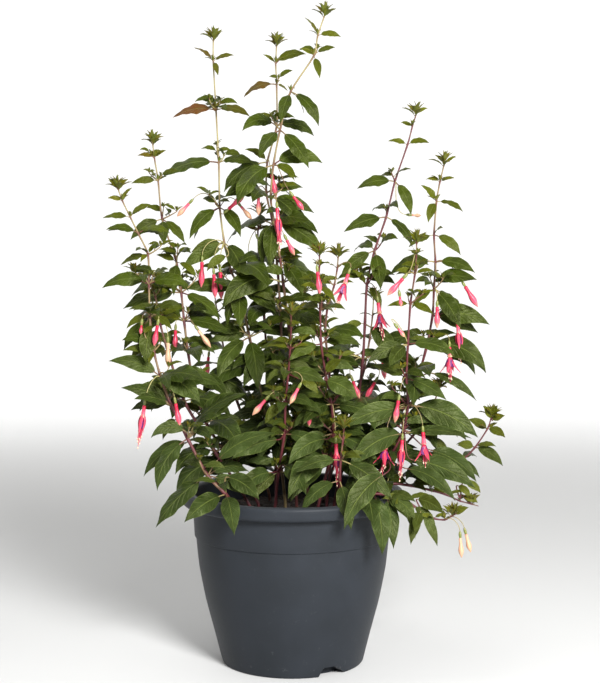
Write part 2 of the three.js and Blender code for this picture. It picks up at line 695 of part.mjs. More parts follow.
// Plans of the leaves

const BLADE_STATIONS = {
  largest: [0.15, 0.42, 0.72],
  large: [0.3, 0.66],
  medium: [0.3, 0.66],
  small: [0.4],
};

function leafSize(length) {
  if (length >= 58) {
    return 'largest';
  }
  if (length >= 34) {
    return 'large';
  }
  return length >= 21 ? 'medium' : 'small';
}

// A leaf's blade, from its plan and one of the tries at placing it.
function leafBlade(plan, attempt) {
  const azimuth = radians(plan.azimuth + attempt.turn);
  const length = plan.length * attempt.scale;
  return {
    root: plan.root,
    out: point(Math.cos(azimuth), Math.sin(azimuth), 0),
    up: UP,
    rise: plan.rise + attempt.lift,
    fall: plan.fall - attempt.lift,
    roll: plan.roll,
    length,
    width: length * (1 - PETIOLE_SHARE) * plan.slimness,
    stalk: PETIOLE_SHARE,
    stalkRing: plan.size.startsWith('large'),
    stations: BLADE_STATIONS[plan.size],
    thickness: plan.size === 'small' ? 0.9 : BLADE_THICKNESS,
    fold: plan.fold,
    wave: plan.wave,
  };
}

// A leaf that would touch something turns, lifts or shortens a little, in this order.
const LEAF_TRIES = [
  [0, 0, 1], [12, 0, 1], [-12, 0, 1], [0, 14, 1], [0, -14, 1], [24, 6, 1], [-24, 6, 1], [14, 24, 0.92],
  [-14, 24, 0.92], [36, -8, 0.88], [-36, -8, 0.88], [30, 30, 0.84], [-30, 30, 0.84], [0, 40, 0.8],
  [48, 10, 0.76], [-48, 10, 0.76], [20, -24, 0.7], [-20, -24, 0.7], [0, 52, 0.66], [56, 30, 0.6],
  [-56, 30, 0.6],
].map(([turn, lift, scale]) => ({ turn, lift, scale }));

// How far a leaf bends between its ends when its tip's place is given.
const NOTABLE_BEND = 24;

// A leaf whose tip lies at a given place from its joint: its direction, chord and even bend follow.
function notablePlan([across, nearer, above], bend) {
  const reach = Math.hypot(across, nearer);
  const slope = THREE.MathUtils.radToDeg(Math.atan2(above, reach));
  return {
    azimuth: THREE.MathUtils.radToDeg(Math.atan2(-nearer, across)),
    length: (Math.hypot(reach, above) * radians(bend)) / Math.sin(radians(bend)),
    rise: slope + bend,
    fall: bend - slope,
  };
}

// A leaf of a pair or three, where the joint gives no more than its number in the whorl.
function rulePlan(stem, joint, share, grown, droop) {
  const age = Math.min(grown / LONGEST_LEAF, 1);
  const quarter = joint % 2 === 0 ? 0 : 0.5;
  return {
    azimuth: stem.turn + 360 * (share + quarter / stem.whorl),
    length: Math.max(grown, SHORTEST_LEAF * 1.1),
    rise: THREE.MathUtils.lerp(42, 26, age) + 12 * (droop - 0.5),
    fall: THREE.MathUtils.lerp(4, 70, age) + 34 * (droop - 0.5),
  };
}

// A leaf of the tuft at the stem's tip, steep and small.
function tuftPlan(stem, share, droop) {
  return {
    azimuth: stem.turn + 360 * share,
    length: SHORTEST_LEAF,
    rise: 62 + 12 * (droop - 0.5),
    fall: -30 + 34 * (droop - 0.5),
  };
}

// The leaves of a stem, joint by joint: pairs or threes, each joint turned from the last.
function leafPlans(stem, index) {
  const draw = seededDraws(4000 + 97 * index);
  const plans = [];
  const tip = stem.joints.at(-1);
  const last = stem.joints.length - 1;
  stem.joints.forEach((joint, i) => {
    const young = i === last;
    const fromTip = Math.hypot(tip[0] - joint[0], tip[1] - joint[1]);
    const grown = LONGEST_LEAF * (1 - Math.exp(-fromTip / LEAF_GROWTH_REACH));
    const depth = THREE.MathUtils.lerp(stem.depth[0], stem.depth[1], i / last);
    const facing = depth < BACK_DEPTH ? FACING_ROLL : -FACING_ROLL;
    const notable = stem.notable?.[i] ?? [];
    const count = young ? TUFT_LEAVES : Math.max(stem.whorl, notable.length);
    for (let k = 0; k < count; k += 1) {
      const swing = 30 * (draw() - 0.5);
      const growth = 0.84 + 0.3 * draw();
      const droop = draw();
      const twist = 34 * (draw() - 0.5);
      const slimness = 0.42 + 0.1 * draw();
      const wave = 0.1 + 0.12 * draw();
      let plan = rulePlan(stem, i, k / count, grown * growth, droop);
      if (young) {
        plan = tuftPlan(stem, k / count, droop);
      }
      if (notable[k]) {
        plan = notablePlan(notable[k], NOTABLE_BEND + 16 * (droop - 0.5));
      } else {
        plan.azimuth += swing;
      }
      const age = Math.min(plan.length / LONGEST_LEAF, 1);
      plans.push({
        ...plan,
        joint: i,
        size: leafSize(plan.length),
        roll: twist + facing * Math.cos(radians(plan.azimuth)),
        slimness: slimness * THREE.MathUtils.lerp(0.82, 1, age),
        fold: THREE.MathUtils.lerp(0.3, -0.14, age),
        wave,
        young,
        notable: notable[k] !== undefined,
      });
    }
  });
  return plans;
}

// Parts of a flower

// The line that a flower hangs along.
function flowerAxis(flower) {
  const lean = radians(flower.lean);
  return point(Math.sin(lean), 0, -Math.cos(lean)).normalize();
}

// Rings of a turned shape, from pairs of distance along the axis and radius.
function turnedRings(start, axis, profile, sides, spin) {
  return profile.map(([distance, radius]) => {
    return ringRound(along(start, axis, distance), axis, radius, sides, spin);
  });
}

// The stalk and ovary as rings that carry on from a collar's facet, with a flat end under the flower.
function stalkRings(from, heading, top, axis, flower) {
  const ovaryStart = along(top, axis, -OVARY_LENGTH - SEAT_GAP);
  const span = from.distanceTo(ovaryStart);
  const arch = along(from, heading, 7).lerp(ovaryStart, 0.35);
  arch.addScaledVector(UP, 2 + 0.16 * span);
  const rising = new THREE.Vector3().subVectors(arch, from).normalize();
  const falling = new THREE.Vector3().subVectors(ovaryStart, arch).normalize();
  const overTop = along(rising, falling, 1).normalize();
  const intoOvary = along(falling, axis, 1).normalize();
  const rings = [
    ringRound(arch, overTop, PEDICEL_RADIUS, 4, 45),
    ringRound(ovaryStart, intoOvary, PEDICEL_RADIUS, 4, 45),
    ringRound(along(ovaryStart, axis, OVARY_LENGTH * 0.45), axis, OVARY_RADIUS, 4, 45),
    ringRound(along(ovaryStart, axis, OVARY_LENGTH), axis, OVARY_END_RADIUS, 4, 45),
  ];
  let tip = null;
  if (flower.kind === 'fused') {
    const { length } = flower;
    rings.push(ringRound(along(top, axis, length * 0.55), axis, 1.6 + length * 0.09, 4, 45));
    tip = along(top, axis, length);
  }
  rings.forEach((ring, i) => {
    rings[i] = i === 0 ? ring : untwisted(ring, rings[i - 1]);
  });
  return { rings, tip };
}

function budSkin(top, axis, length, widest) {
  const skin = new Skin();
  const rings = turnedRings(top, axis, [
    [0, TUBE_RADIUS],
    [length * 0.3, TUBE_RADIUS + 0.3],
    [length * 0.62, widest],
    [length * 0.86, widest * 0.62],
  ], 5, 20);
  skin.startCap(rings[0]);
  skin.branch(rings[0], rings.slice(1), along(top, axis, length));
  return skin;
}

// A long flower whose sepals have just parted, with its stamens out below.
function splitSkin(top, axis, length) {
  const skin = new Skin();
  const rings = turnedRings(top, axis, [
    [0, TUBE_RADIUS],
    [length * 0.32, TUBE_RADIUS + 0.4],
    [length * 0.62, 4.4],
    [length, 2.2],
    [length + 1.5, 0.9],
  ], 5, 20);
  skin.startCap(rings[0]);
  skin.branch(rings[0], rings.slice(1), along(top, axis, length + 16));
  return skin;
}

// An open flower's tube with its four sepals spread round it.
function openSolid(top, axis, tubeLength, turn) {
  const skin = new Skin();
  const rings = turnedRings(top, axis, [
    [0, TUBE_RADIUS],
    [tubeLength * 0.6, TUBE_RADIUS + 0.5],
    [tubeLength, TUBE_RADIUS + 1.1],
  ], 4, turn + 45);
  skin.startCap(rings[0]);
  skin.branch(rings[0], rings.slice(1), null);
  let flower = skin.solid();
  const [first, second] = squareTo(axis);
  for (let k = 0; k < 4; k += 1) {
    const angle = radians(turn + 90 * k);
    const out = first.clone().multiplyScalar(Math.cos(angle)).addScaledVector(second, Math.sin(angle));
    const sepal = bladeRings({
      root: along(top, axis, tubeLength - 1.4, out, 0.5),
      out,
      up: axis,
      rise: 66,
      fall: -34,
      roll: 0,
      length: SEPAL_LENGTH,
      width: 7,
      stalk: 0.12,
      stalkRing: false,
      stations: [0.42],
      thickness: 1,
      fold: 0.25,
      wave: 0,
    });
    const petal = new Skin();
    petal.startPoint(along(top, axis, tubeLength - 2.4), sepal.rings[0]);
    petal.branch(sepal.rings[0], sepal.rings.slice(1), sepal.tip);
    flower = flower.add(petal.solid());
  }
  return flower;
}

// The rolled petals inside an open flower as a scalloped cup, with the style out below it.
function corollaSkin(top, axis, tubeLength, turn) {
  const start = along(top, axis, tubeLength + SEAT_GAP);
  const sides = 8;
  const skin = new Skin();
  const [first, second] = squareTo(axis);
  const scallop = (distance, radius, wave) => Array.from({ length: sides }, (unused, j) => {
    const angle = radians(turn + 22.5) + (2 * Math.PI * j) / sides;
    const swing = wave * (j % 2 === 0 ? 1 : -1);
    const reach = radius + 0.35 * swing;
    const rim = along(start, first, reach * Math.cos(angle), second, reach * Math.sin(angle));
    return along(rim, axis, distance + swing);
  });
  const rings = [
    scallop(0, 1.2, 0),
    scallop(5, COROLLA_RADIUS * 0.8, 0),
    scallop(10, COROLLA_RADIUS, 0.9),
    scallop(7.5, 1, 0),
    scallop(26, 0.8, 0),
  ];
  skin.startCap(rings[0]);
  skin.branch(rings[0], rings.slice(1), along(start, axis, 29));
  return skin;
}

// Placing

// Places already filled, so that each new piece can be kept clear of them.
const filled = [];

function boxOf(solid) {
  const { min, max } = solid.boundingBox();
  return new THREE.Box3(point(...min), point(...max));
}

function occupy(owner, solid) {
  filled.push({ owner, solid, box: boxOf(solid) });
}

// True where a piece keeps its distance from all others. In its own node it only mustn't cross them.
function isClear(owner, solid) {
  const box = boxOf(solid).expandByScalar(LEAF_CLEARANCE);
  return filled.every((other) => {
    if (!other.box.intersectsBox(box)) {
      return true;
    }
    if (other.owner !== owner) {
      return solid.minGap(other.solid, LEAF_CLEARANCE) >= LEAF_CLEARANCE;
    }
    return solid.intersect(other.solid).volume() < CROSSING_VOLUME;
  });
}

function closedBranch(start, rings, tip) {
  const skin = new Skin();
  skin.startCap(start);
  skin.branch(start, rings, tip);
  return skin.solid();
}

// The flower's own solids, without its stalk: one for buds, tube and corolla for open flowers.
function flowerSolids(flower, top, axis, turn) {
  if (flower.kind === 'bud') {
    return [budSkin(top, axis, flower.length, 1.9 + flower.length * 0.095).solid()];
  }
  if (flower.kind === 'split') {
    return [splitSkin(top, axis, flower.length).solid()];
  }
  if (flower.kind === 'open') {
    return [
      openSolid(top, axis, flower.length, turn),
      corollaSkin(top, axis, flower.length, turn).solid(),
    ];
  }
  return [];
}

// Where a flower would touch something, it hangs nearer or farther, in this order.
const FLOWER_TRIES = [0, 4, -4, 8, -8, 13, -13, 18, -18, 24, -24, 30, -30];

function hangFlower(stem, flower, index, pieces) {
  const axis = flowerAxis(flower);
  const collar = stem.collars[flower.joint];
  const side = Math.sign(flower.near) || 1;
  for (const shift of FLOWER_TRIES) {
    const depth = collar.centre.y - flower.near - side * shift;
    const top = point(flower.at[0], depth, flower.at[1]);
    const heading = new THREE.Vector3().subVectors(top, collar.centre).setZ(4).normalize();
    const facet = stem.seat(flower.joint, heading);
    const { rings, tip } = stalkRings(collar.centre, collar.facets[facet], top, axis, flower);
    const start = stem.seatRing(flower.joint, facet, rings[0]);
    const stalk = closedBranch(start, rings, tip);
    const solids = flowerSolids(flower, top, axis, 35 * index);
    const owner = stem.plan.name;
    const leavesWell = stem.leavesWell(flower.joint, facet, rings[0]);
    if (leavesWell && isClear(owner, stalk) && solids.every((solid) => isClear('flower', solid))) {
      stem.fill(flower.joint, facet, rings, tip);
      occupy(owner, stalk);
      solids.forEach((solid, k) => {
        occupy(`flower ${index}`, solid);
        pieces.push({ kind: k === 0 ? 'bloom' : 'corolla', geometry: toGeometry(solid) });
      });
      return;
    }
  }
}

function growLeaf(stem, plan) {
  const collar = stem.collars[plan.joint];
  const owner = stem.plan.name;
  for (const attempt of LEAF_TRIES) {
    const blade = leafBlade({ ...plan, root: collar.centre }, attempt);
    const { rings, tip } = bladeRings(blade);
    const facet = stem.seat(plan.joint, middleOf(rings[0]).sub(collar.centre));
    if (facet === undefined || !stem.leavesWell(plan.joint, facet, rings[0])) {
      continue;
    }
    const start = stem.seatRing(plan.joint, facet, rings[0]);
    const whole = closedBranch(start, rings, tip);
    if (isClear(owner, whole)) {
      stem.fill(plan.joint, facet, rings, tip);
      occupy(owner, whole);
      return;
    }
  }
}

// Assembly
const fuchsia = new THREE.Group();
fuchsia.name = 'potted_fuchsia';

function finish(color, roughness) {
  return new THREE.MeshStandardMaterial({ color, roughness, metalness: 0 });
}

function addPiece(name, geometry, material) {
  const mesh = new THREE.Mesh(geometry, material);
  mesh.name = name;
  fuchsia.add(mesh);
}

const leafFinish = finish(LEAF_GREEN, 0.6);
const bloomFinish = finish(FLOWER_PINK, 0.5);
const corollaFinish = finish(COROLLA_PURPLE, 0.5);

const stems = STEMS.map((plan) => new Stem(plan));
const bareStems = stems.map((stem) => stem.skin(false).solid());

// The soil has a plain hole for each stem, a little wider and deeper than the stem.
const holes = stems.map((stem) => {
  const [x, y] = stem.plan.foot;
  const depth = STEM_BURIED + SEAT_GAP;
  const radius = STEM_FOOT_RADIUS + SEAT_GAP * Math.SQRT2;
  const bottom = ringRound(point(x, y, SOIL_LEVEL - depth), UP, radius, 4, stem.plan.turn - 45);
  const top = ringRound(point(x, y, SOIL_LEVEL + 2 * SOIL_LUMP + 4), UP, radius, 4, stem.plan.turn - 45);
  return closedBranch(bottom, [top], null);
});
const pottedSoil = holes.reduce((soil, hole) => soil.subtract(hole), soilSolid());
const pot = potGeometry();

addPiece('pot', pot, finish(POT_GREY, 0.55));
addPiece('soil', toGeometry(pottedSoil), finish(SOIL_BROWN, 0.95));

occupy('pot', toSolid(pot));
occupy('soil', pottedSoil);
stems.forEach((stem, i) => occupy(stem.plan.name, bareStems[i]));

const flowerPieces = [];
FLOWERS.forEach((flower, index) => {
  const stem = stems.find((candidate) => candidate.plan.name === flower.stem);
  hangFlower(stem, flower, index, flowerPieces);
});

// The notable leaves first, then the large ones, so that the small ones give way to them.
const leaves = stems.flatMap((stem, i) => leafPlans(stem.plan, i).map((plan) => ({ stem, plan })));
leaves.sort((a, b) => b.plan.notable - a.plan.notable || b.plan.length - a.plan.length);
for (const { stem, plan } of leaves) {
  growLeaf(stem, plan);
}

for (const stem of stems) {
  addPiece(`stem_${stem.plan.name}`, stem.skin(true).geometry(), leafFinish);
}

const counts = { bloom: 0, corolla: 0 };
for (const { kind, geometry } of flowerPieces) {
  counts[kind] += 1;
  const number = String(counts[kind]).padStart(2, '0');
  addPiece(`${kind}_${number}`, geometry, kind === 'bloom' ? bloomFinish : corollaFinish);
}

export default fuchsia;
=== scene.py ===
import math
import random
from dataclasses import dataclass, field

import bmesh
import bpy
from bpy.props import FloatProperty, FloatVectorProperty, IntProperty, PointerProperty
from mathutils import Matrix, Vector, noise
from mathutils.kdtree import KDTree


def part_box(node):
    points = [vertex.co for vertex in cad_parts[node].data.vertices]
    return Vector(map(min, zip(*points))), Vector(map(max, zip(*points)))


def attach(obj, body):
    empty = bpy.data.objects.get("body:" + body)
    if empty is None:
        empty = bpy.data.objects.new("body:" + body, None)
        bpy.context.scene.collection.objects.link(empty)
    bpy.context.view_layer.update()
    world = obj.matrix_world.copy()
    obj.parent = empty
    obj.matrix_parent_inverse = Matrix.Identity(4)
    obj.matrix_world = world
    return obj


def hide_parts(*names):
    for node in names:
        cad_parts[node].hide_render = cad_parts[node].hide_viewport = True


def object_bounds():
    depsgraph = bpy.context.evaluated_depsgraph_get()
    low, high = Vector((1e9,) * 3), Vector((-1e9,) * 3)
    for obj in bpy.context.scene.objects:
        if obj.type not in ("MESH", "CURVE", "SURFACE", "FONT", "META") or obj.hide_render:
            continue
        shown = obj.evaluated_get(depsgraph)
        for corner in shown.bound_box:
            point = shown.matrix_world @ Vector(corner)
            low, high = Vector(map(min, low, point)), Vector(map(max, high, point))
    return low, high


bl_info = {
    "name": "Potted fuchsia",
    "version": (1, 0, 0),
    "blender": (4, 5, 0),
    "location": "3D View > Sidebar > Fuchsia",
    "description": "A bushy fuchsia with nodding flowers in a dark plastic patio pot",
    "category": "Add Mesh",
}

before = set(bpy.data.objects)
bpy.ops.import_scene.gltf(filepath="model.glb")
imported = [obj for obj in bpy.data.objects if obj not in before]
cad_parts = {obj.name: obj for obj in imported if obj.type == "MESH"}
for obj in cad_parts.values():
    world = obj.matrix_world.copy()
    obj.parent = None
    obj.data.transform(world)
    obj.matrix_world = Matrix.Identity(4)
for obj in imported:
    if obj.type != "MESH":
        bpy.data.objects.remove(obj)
CAD_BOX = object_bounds()
POT_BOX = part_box("pot")

# The plant is worked out in millimetres, from the pot's underside, and built in metres.
MM = 0.001
UP = Vector((0, 0, 1))

@dataclass
class Stem:
    """A leafy stem in millimetres, as read off the view from the front.

    It starts upright in the soil at `foot` (x, y), then bends through its joints (x, z). Its depth goes
    evenly from the first to the second value of `depth`, where negative is nearer. `red` is how red its
    bark is, `turn` the direction of its leaves and `whorl` their number at a joint. `notable` gives, for
    a joint by its number, leaves that stand out: how far each tip is across, nearer and above the joint.
    """

    name: str
    red: float
    foot: tuple
    depth: tuple
    turn: float
    joints: list
    whorl: int = 2
    notable: dict = field(default_factory=dict)

    def depth_at(self, i):
        return lerp(self.depth[0], self.depth[1], i / (len(self.joints) - 1))

    def points(self):
        return [Vector((x, self.depth_at(i), z)) for i, (x, z) in enumerate(self.joints)]

    def radius_at(self, i):
        return lerp(LOWEST_STEM_RADIUS, TIP_STEM_RADIUS, ((i + 1) / len(self.joints)) ** 0.8)


STEMS = [
    Stem(
        "tall_left", red=0.35, foot=(-8, 18), depth=(20, 58), turn=8,
        joints=[[-14, 213], [-26, 255], [-39, 301], [-46, 338], [-57, 389], [-66, 409], [-73, 438],
            [-78, 476], [-79, 524], [-82, 580], [-85, 632], [-85, 656]],
        notable={
            3: [[10, 40, -54], [-33, 30, -43], [41, 10, 22]],
            4: [[-60, 8, 0], [2, 32, -40], [39, 14, -24]],
            6: [[-35, 10, -10], [22, 30, -41]],
            7: [[-31, 20, -34], [23, 18, -32]],
            8: [[-60, 12, -17], [37, 14, -12]],
            9: [[-47, -3, -8], [37, 4, -8], [0, 24, -4]],
            10: [[-21, 4, 14], [23, 3, 6], [6, 14, -17]],
        },
    ),
    Stem(
        "tall_mid", red=0.5, foot=(4, 30), depth=(32, 44), turn=40,
        joints=[[-2, 228], [-7, 271], [-11, 311], [-13, 364], [-16, 409], [-21, 458], [-28, 491],
            [-27, 524], [-17, 562], [-17, 606], [-18, 628], [-17, 648]],
        notable={
            7: [[-46, 10, -33], [-24, 6, 13]],
            9: [[-35, 8, -15], [12, -12, -6]],
            10: [[-14, 5, 9], [33, -8, 11]],
        },
    ),
    Stem(
        "tallest", red=0.45, foot=(17, 42), depth=(44, -8), turn=20,
        joints=[[8, 226], [4, 270], [-1, 313], [-5, 356], [-10, 396], [-13, 420], [-20, 462], [-23, 486],
            [-20, 519], [-13, 555], [-2, 594], [22, 630], [26, 650], [33, 670]],
        notable={
            5: [[24, 20, -38], [24, -10, 3]],
            6: [[-3, 26, -50], [53, 16, -35]],
            7: [[31, 18, -30], [46, 6, -17]],
            8: [[24, 14, -15], [-37, 30, -43]],
            9: [[-21, 24, -31], [30, 18, -41]],
            10: [[-10, 26, -35], [29, 10, -37], [14, -16, -21]],
            11: [[6, 14, -25], [-15, 4, 7]],
            12: [[-14, 4, 18], [24, 3, -2]],
        },
    ),
    Stem(
        "behind_mid", red=0.7, foot=(-18, 44), depth=(44, 72), turn=65,
        joints=[[-20, 237], [-27, 298], [-31, 360], [-36, 384], [-37, 416], [-38, 452], [-36, 470]],
    ),
    Stem(
        "left", red=0.55, foot=(-36, 4), depth=(5, 22), turn=30,
        joints=[[-62, 203], [-91, 249], [-104, 289], [-110, 324], [-114, 356], [-117, 386], [-122, 418],
            [-137, 463], [-141, 503], [-145, 527], [-147, 543]],
        notable={
            4: [[47, 22, -9], [-34, 10, 18]],
            5: [[42, 16, -28], [-60, 14, -17]],
            6: [[-1, 22, -35], [21, 8, -17], [-20, -6, 13]],
            7: [[-32, 12, -22], [22, 16, -26], [5, 30, -28]],
            8: [[-28, 4, -3], [-11, 14, 11], [9, -6, 5]],
            9: [[-18, 3, 2], [13, 3, 8]],
        },
    ),
    Stem(
        "far_left", red=0.5, foot=(-52, -56), depth=(-78, -45), turn=90,
        joints=[[-66, 188], [-84, 206], [-104, 243], [-120, 275], [-131, 304], [-138, 330], [-142, 364],
            [-143, 396], [-144, 426], [-154, 447], [-162, 463], [-170, 479], [-175, 492]],
        notable={
            0: [[9, 42, -43], [-46, 34, -20]],
            1: [[-51, 12, -50], [48, 8, -20]],
            2: [[-29, 16, -50], [60, 18, 47]],
            3: [[-50, 6, 19], [-43, -16, -6]],
            4: [[-52, 2, 16], [62, 24, -6]],
            5: [[-30, 8, 1], [-25, -12, -11], [-3, 18, -12]],
            6: [[-23, 4, -12], [20, 18, -13]],
            8: [[-27, 6, -11], [-6, 14, -8], [10, -4, 12]],
            10: [[-28, 3, -1], [23, 2, 12]],
            11: [[-15, 3, 3], [10, -2, 14]],
        },
    ),
    Stem(
        "left_spray", red=0.6, foot=(-44, -14), depth=(-14, -22), turn=55,
        joints=[[-80, 221], [-112, 274], [-128, 324], [-137, 358], [-141, 384], [-150, 403], [-161, 406]],
    ),
    Stem(
        "right", red=0.85, foot=(44, 12), depth=(10, 15), turn=12,
        joints=[[61, 230], [69, 273], [74, 316], [76, 353], [78, 394], [86, 430], [98, 465], [107, 502],
            [120, 540], [125, 559], [129, 572]],
        notable={
            3: [[-25, 10, -7], [30, 18, -43]],
            4: [[-17, 6, 17], [10, 20, -26]],
            5: [[-36, 10, -27], [5, 26, -41]],
            6: [[-45, 14, -16], [27, 10, -32]],
            7: [[-40, 6, -8], [16, 14, -36]],
        },
    ),
    Stem(
        "far_right", red=0.6, foot=(58, 18), depth=(15, -20), turn=75,
        joints=[[84, 211], [112, 256], [131, 296], [140, 328], [146, 362], [147, 390], [148, 418],
            [146, 446], [148, 480], [151, 500], [155, 518]],
        notable={
            4: [[59, 6, -9], [50, -14, -19]],
            5: [[25, 26, -40], [-24, 10, -20]],
            6: [[-48, 8, -13], [42, 10, -11]],
            7: [[-27, 8, -13], [27, 6, -21], [11, 16, 7]],
            8: [[-17, 4, 17], [27, 6, -11], [-10, 16, -22]],
        },
    ),
    Stem(
        "right_young", red=0.75, foot=(60, -20), depth=(-26, -60), turn=20,
        joints=[[98, 214], [114, 246], [118, 272], [116, 300], [117, 335], [119, 376], [123, 406],
            [124, 425], [124, 438]],
        notable={
            2: [[70, 16, -31], [-40, 20, -24]],
            3: [[-36, -8, 13], [39, 20, -20]],
            4: [[-42, 14, -18], [46, 18, -10]],
            5: [[-24, 6, -2], [22, 12, -10]],
        },
    ),
    Stem(
        "centre", red=0.8, foot=(26, -30), depth=(-31, -74), turn=35,
        joints=[[38, 214], [42, 243], [40, 274], [34, 304], [29, 336], [28, 370], [26, 394], [27, 414],
            [27, 426]],
        notable={
            0: [[-40, 30, -37], [36, 30, -20]],
            1: [[-47, 24, -32], [44, 26, -24]],
            2: [[-39, 18, -22], [46, 14, -12]],
            3: [[15, 10, 16], [-40, 12, -18]],
            4: [[40, 10, -1], [-36, 12, -16]],
            6: [[-18, 6, 1], [16, 14, -14]],
        },
    ),
    Stem(
        "centre_twin", red=0.6, foot=(36, 2), depth=(0, -20), turn=70,
        joints=[[41, 222], [40, 264], [38, 306], [34, 344], [36, 370], [43, 394], [46, 411], [47, 424]],
    ),
    Stem(
        "front_mid", red=0.9, foot=(-18, -36), depth=(-38, -78), turn=0,
        joints=[[-14, 204], [-8, 244], [-7, 275], [-4, 306], [-2, 332], [-1, 353], [-1, 366]],
        notable={
            0: [[30, 26, -13], [-24, 20, -24]],
            1: [[-48, 16, -16], [40, 18, -14]],
            2: [[-18, 16, -15], [38, 20, -8]],
        },
    ),
    Stem(
        "front_right", red=0.7, foot=(46, -56), depth=(-80, -90), turn=45,
        joints=[[47, 202], [48, 223], [50, 243], [51, 256]],
        notable={
            0: [[2, 40, -42], [-34, 22, -30]],
            1: [[50, 24, -36], [-44, 14, -10]],
        },
    ),
    Stem(
        "low_right", red=1.0, foot=(70, 8), depth=(10, 5), turn=50,
        joints=[[88, 186], [112, 192], [138, 197], [159, 201], [178, 209], [192, 223], [205, 243],
            [209, 256]],
    ),
    Stem(
        "trailing", red=0.95, foot=(62, -44), depth=(-64, -78), turn=15,
        joints=[[74, 185], [94, 186], [114, 180], [129, 170], [141, 163], [152, 162], [160, 167]],
        notable={
            0: [[-8, 48, -46], [-40, 30, -6]],
            1: [[6, 26, -50], [20, 30, -20]],
            3: [[15, 14, -33], [-12, 20, -30]],
        },
    ),
    Stem(
        "trailing_twig", red=0.95, foot=(74, -12), depth=(-12, -14), turn=80,
        joints=[[98, 187], [122, 186], [144, 181], [161, 176], [174, 170], [185, 167]],
    ),
    Stem(
        "right_low", red=0.9, foot=(80, 34), depth=(30, 6), turn=5,
        joints=[[106, 206], [130, 236], [147, 264], [154, 286]],
    ),
    Stem(
        "back_left", red=0.5, foot=(-26, 62), depth=(66, 140), turn=25, whorl=3,
        joints=[[-46, 223], [-62, 265], [-73, 300], [-80, 332], [-86, 361], [-90, 382]],
    ),
    Stem(
        "back_right", red=0.5, foot=(36, 62), depth=(66, 142), turn=60, whorl=3,
        joints=[[52, 218], [68, 260], [79, 297], [86, 330], [90, 356], [92, 376]],
    ),
    Stem(
        "back_mid", red=0.5, foot=(4, 68), depth=(76, 128), turn=85, whorl=3,
        joints=[[6, 223], [10, 266], [12, 303], [11, 336], [11, 362], [12, 382]],
    ),
]


@dataclass
class Flower:
    """A flower: its stem and joint, where its tube starts (x, z), how far in front, its lean and kind.

    `length` is that of a bud or of an open flower's tube, and of the tube and sepals of one that has just
    parted. `pale` is how far a bud has stayed cream instead of rose.
    """

    stem: str
    joint: int
    at: tuple
    near: float
    lean: float
    kind: str
    length: float
    pale: float = 0

    @property
    def axis(self):
        lean = math.radians(self.lean)
        return Vector((math.sin(lean), 0, -math.cos(lean))).normalized()

    @property
    def reach(self):
        """How far the last corner of the flower's solid lies below its top."""
        if self.kind == "split":
            return self.length + SPLIT_REACH
        if self.kind == "open":
            return self.length + SEAT_GAP + STYLE_REACH
        return self.length


STEM_BY_NAME = {stem.name: stem for stem in STEMS}

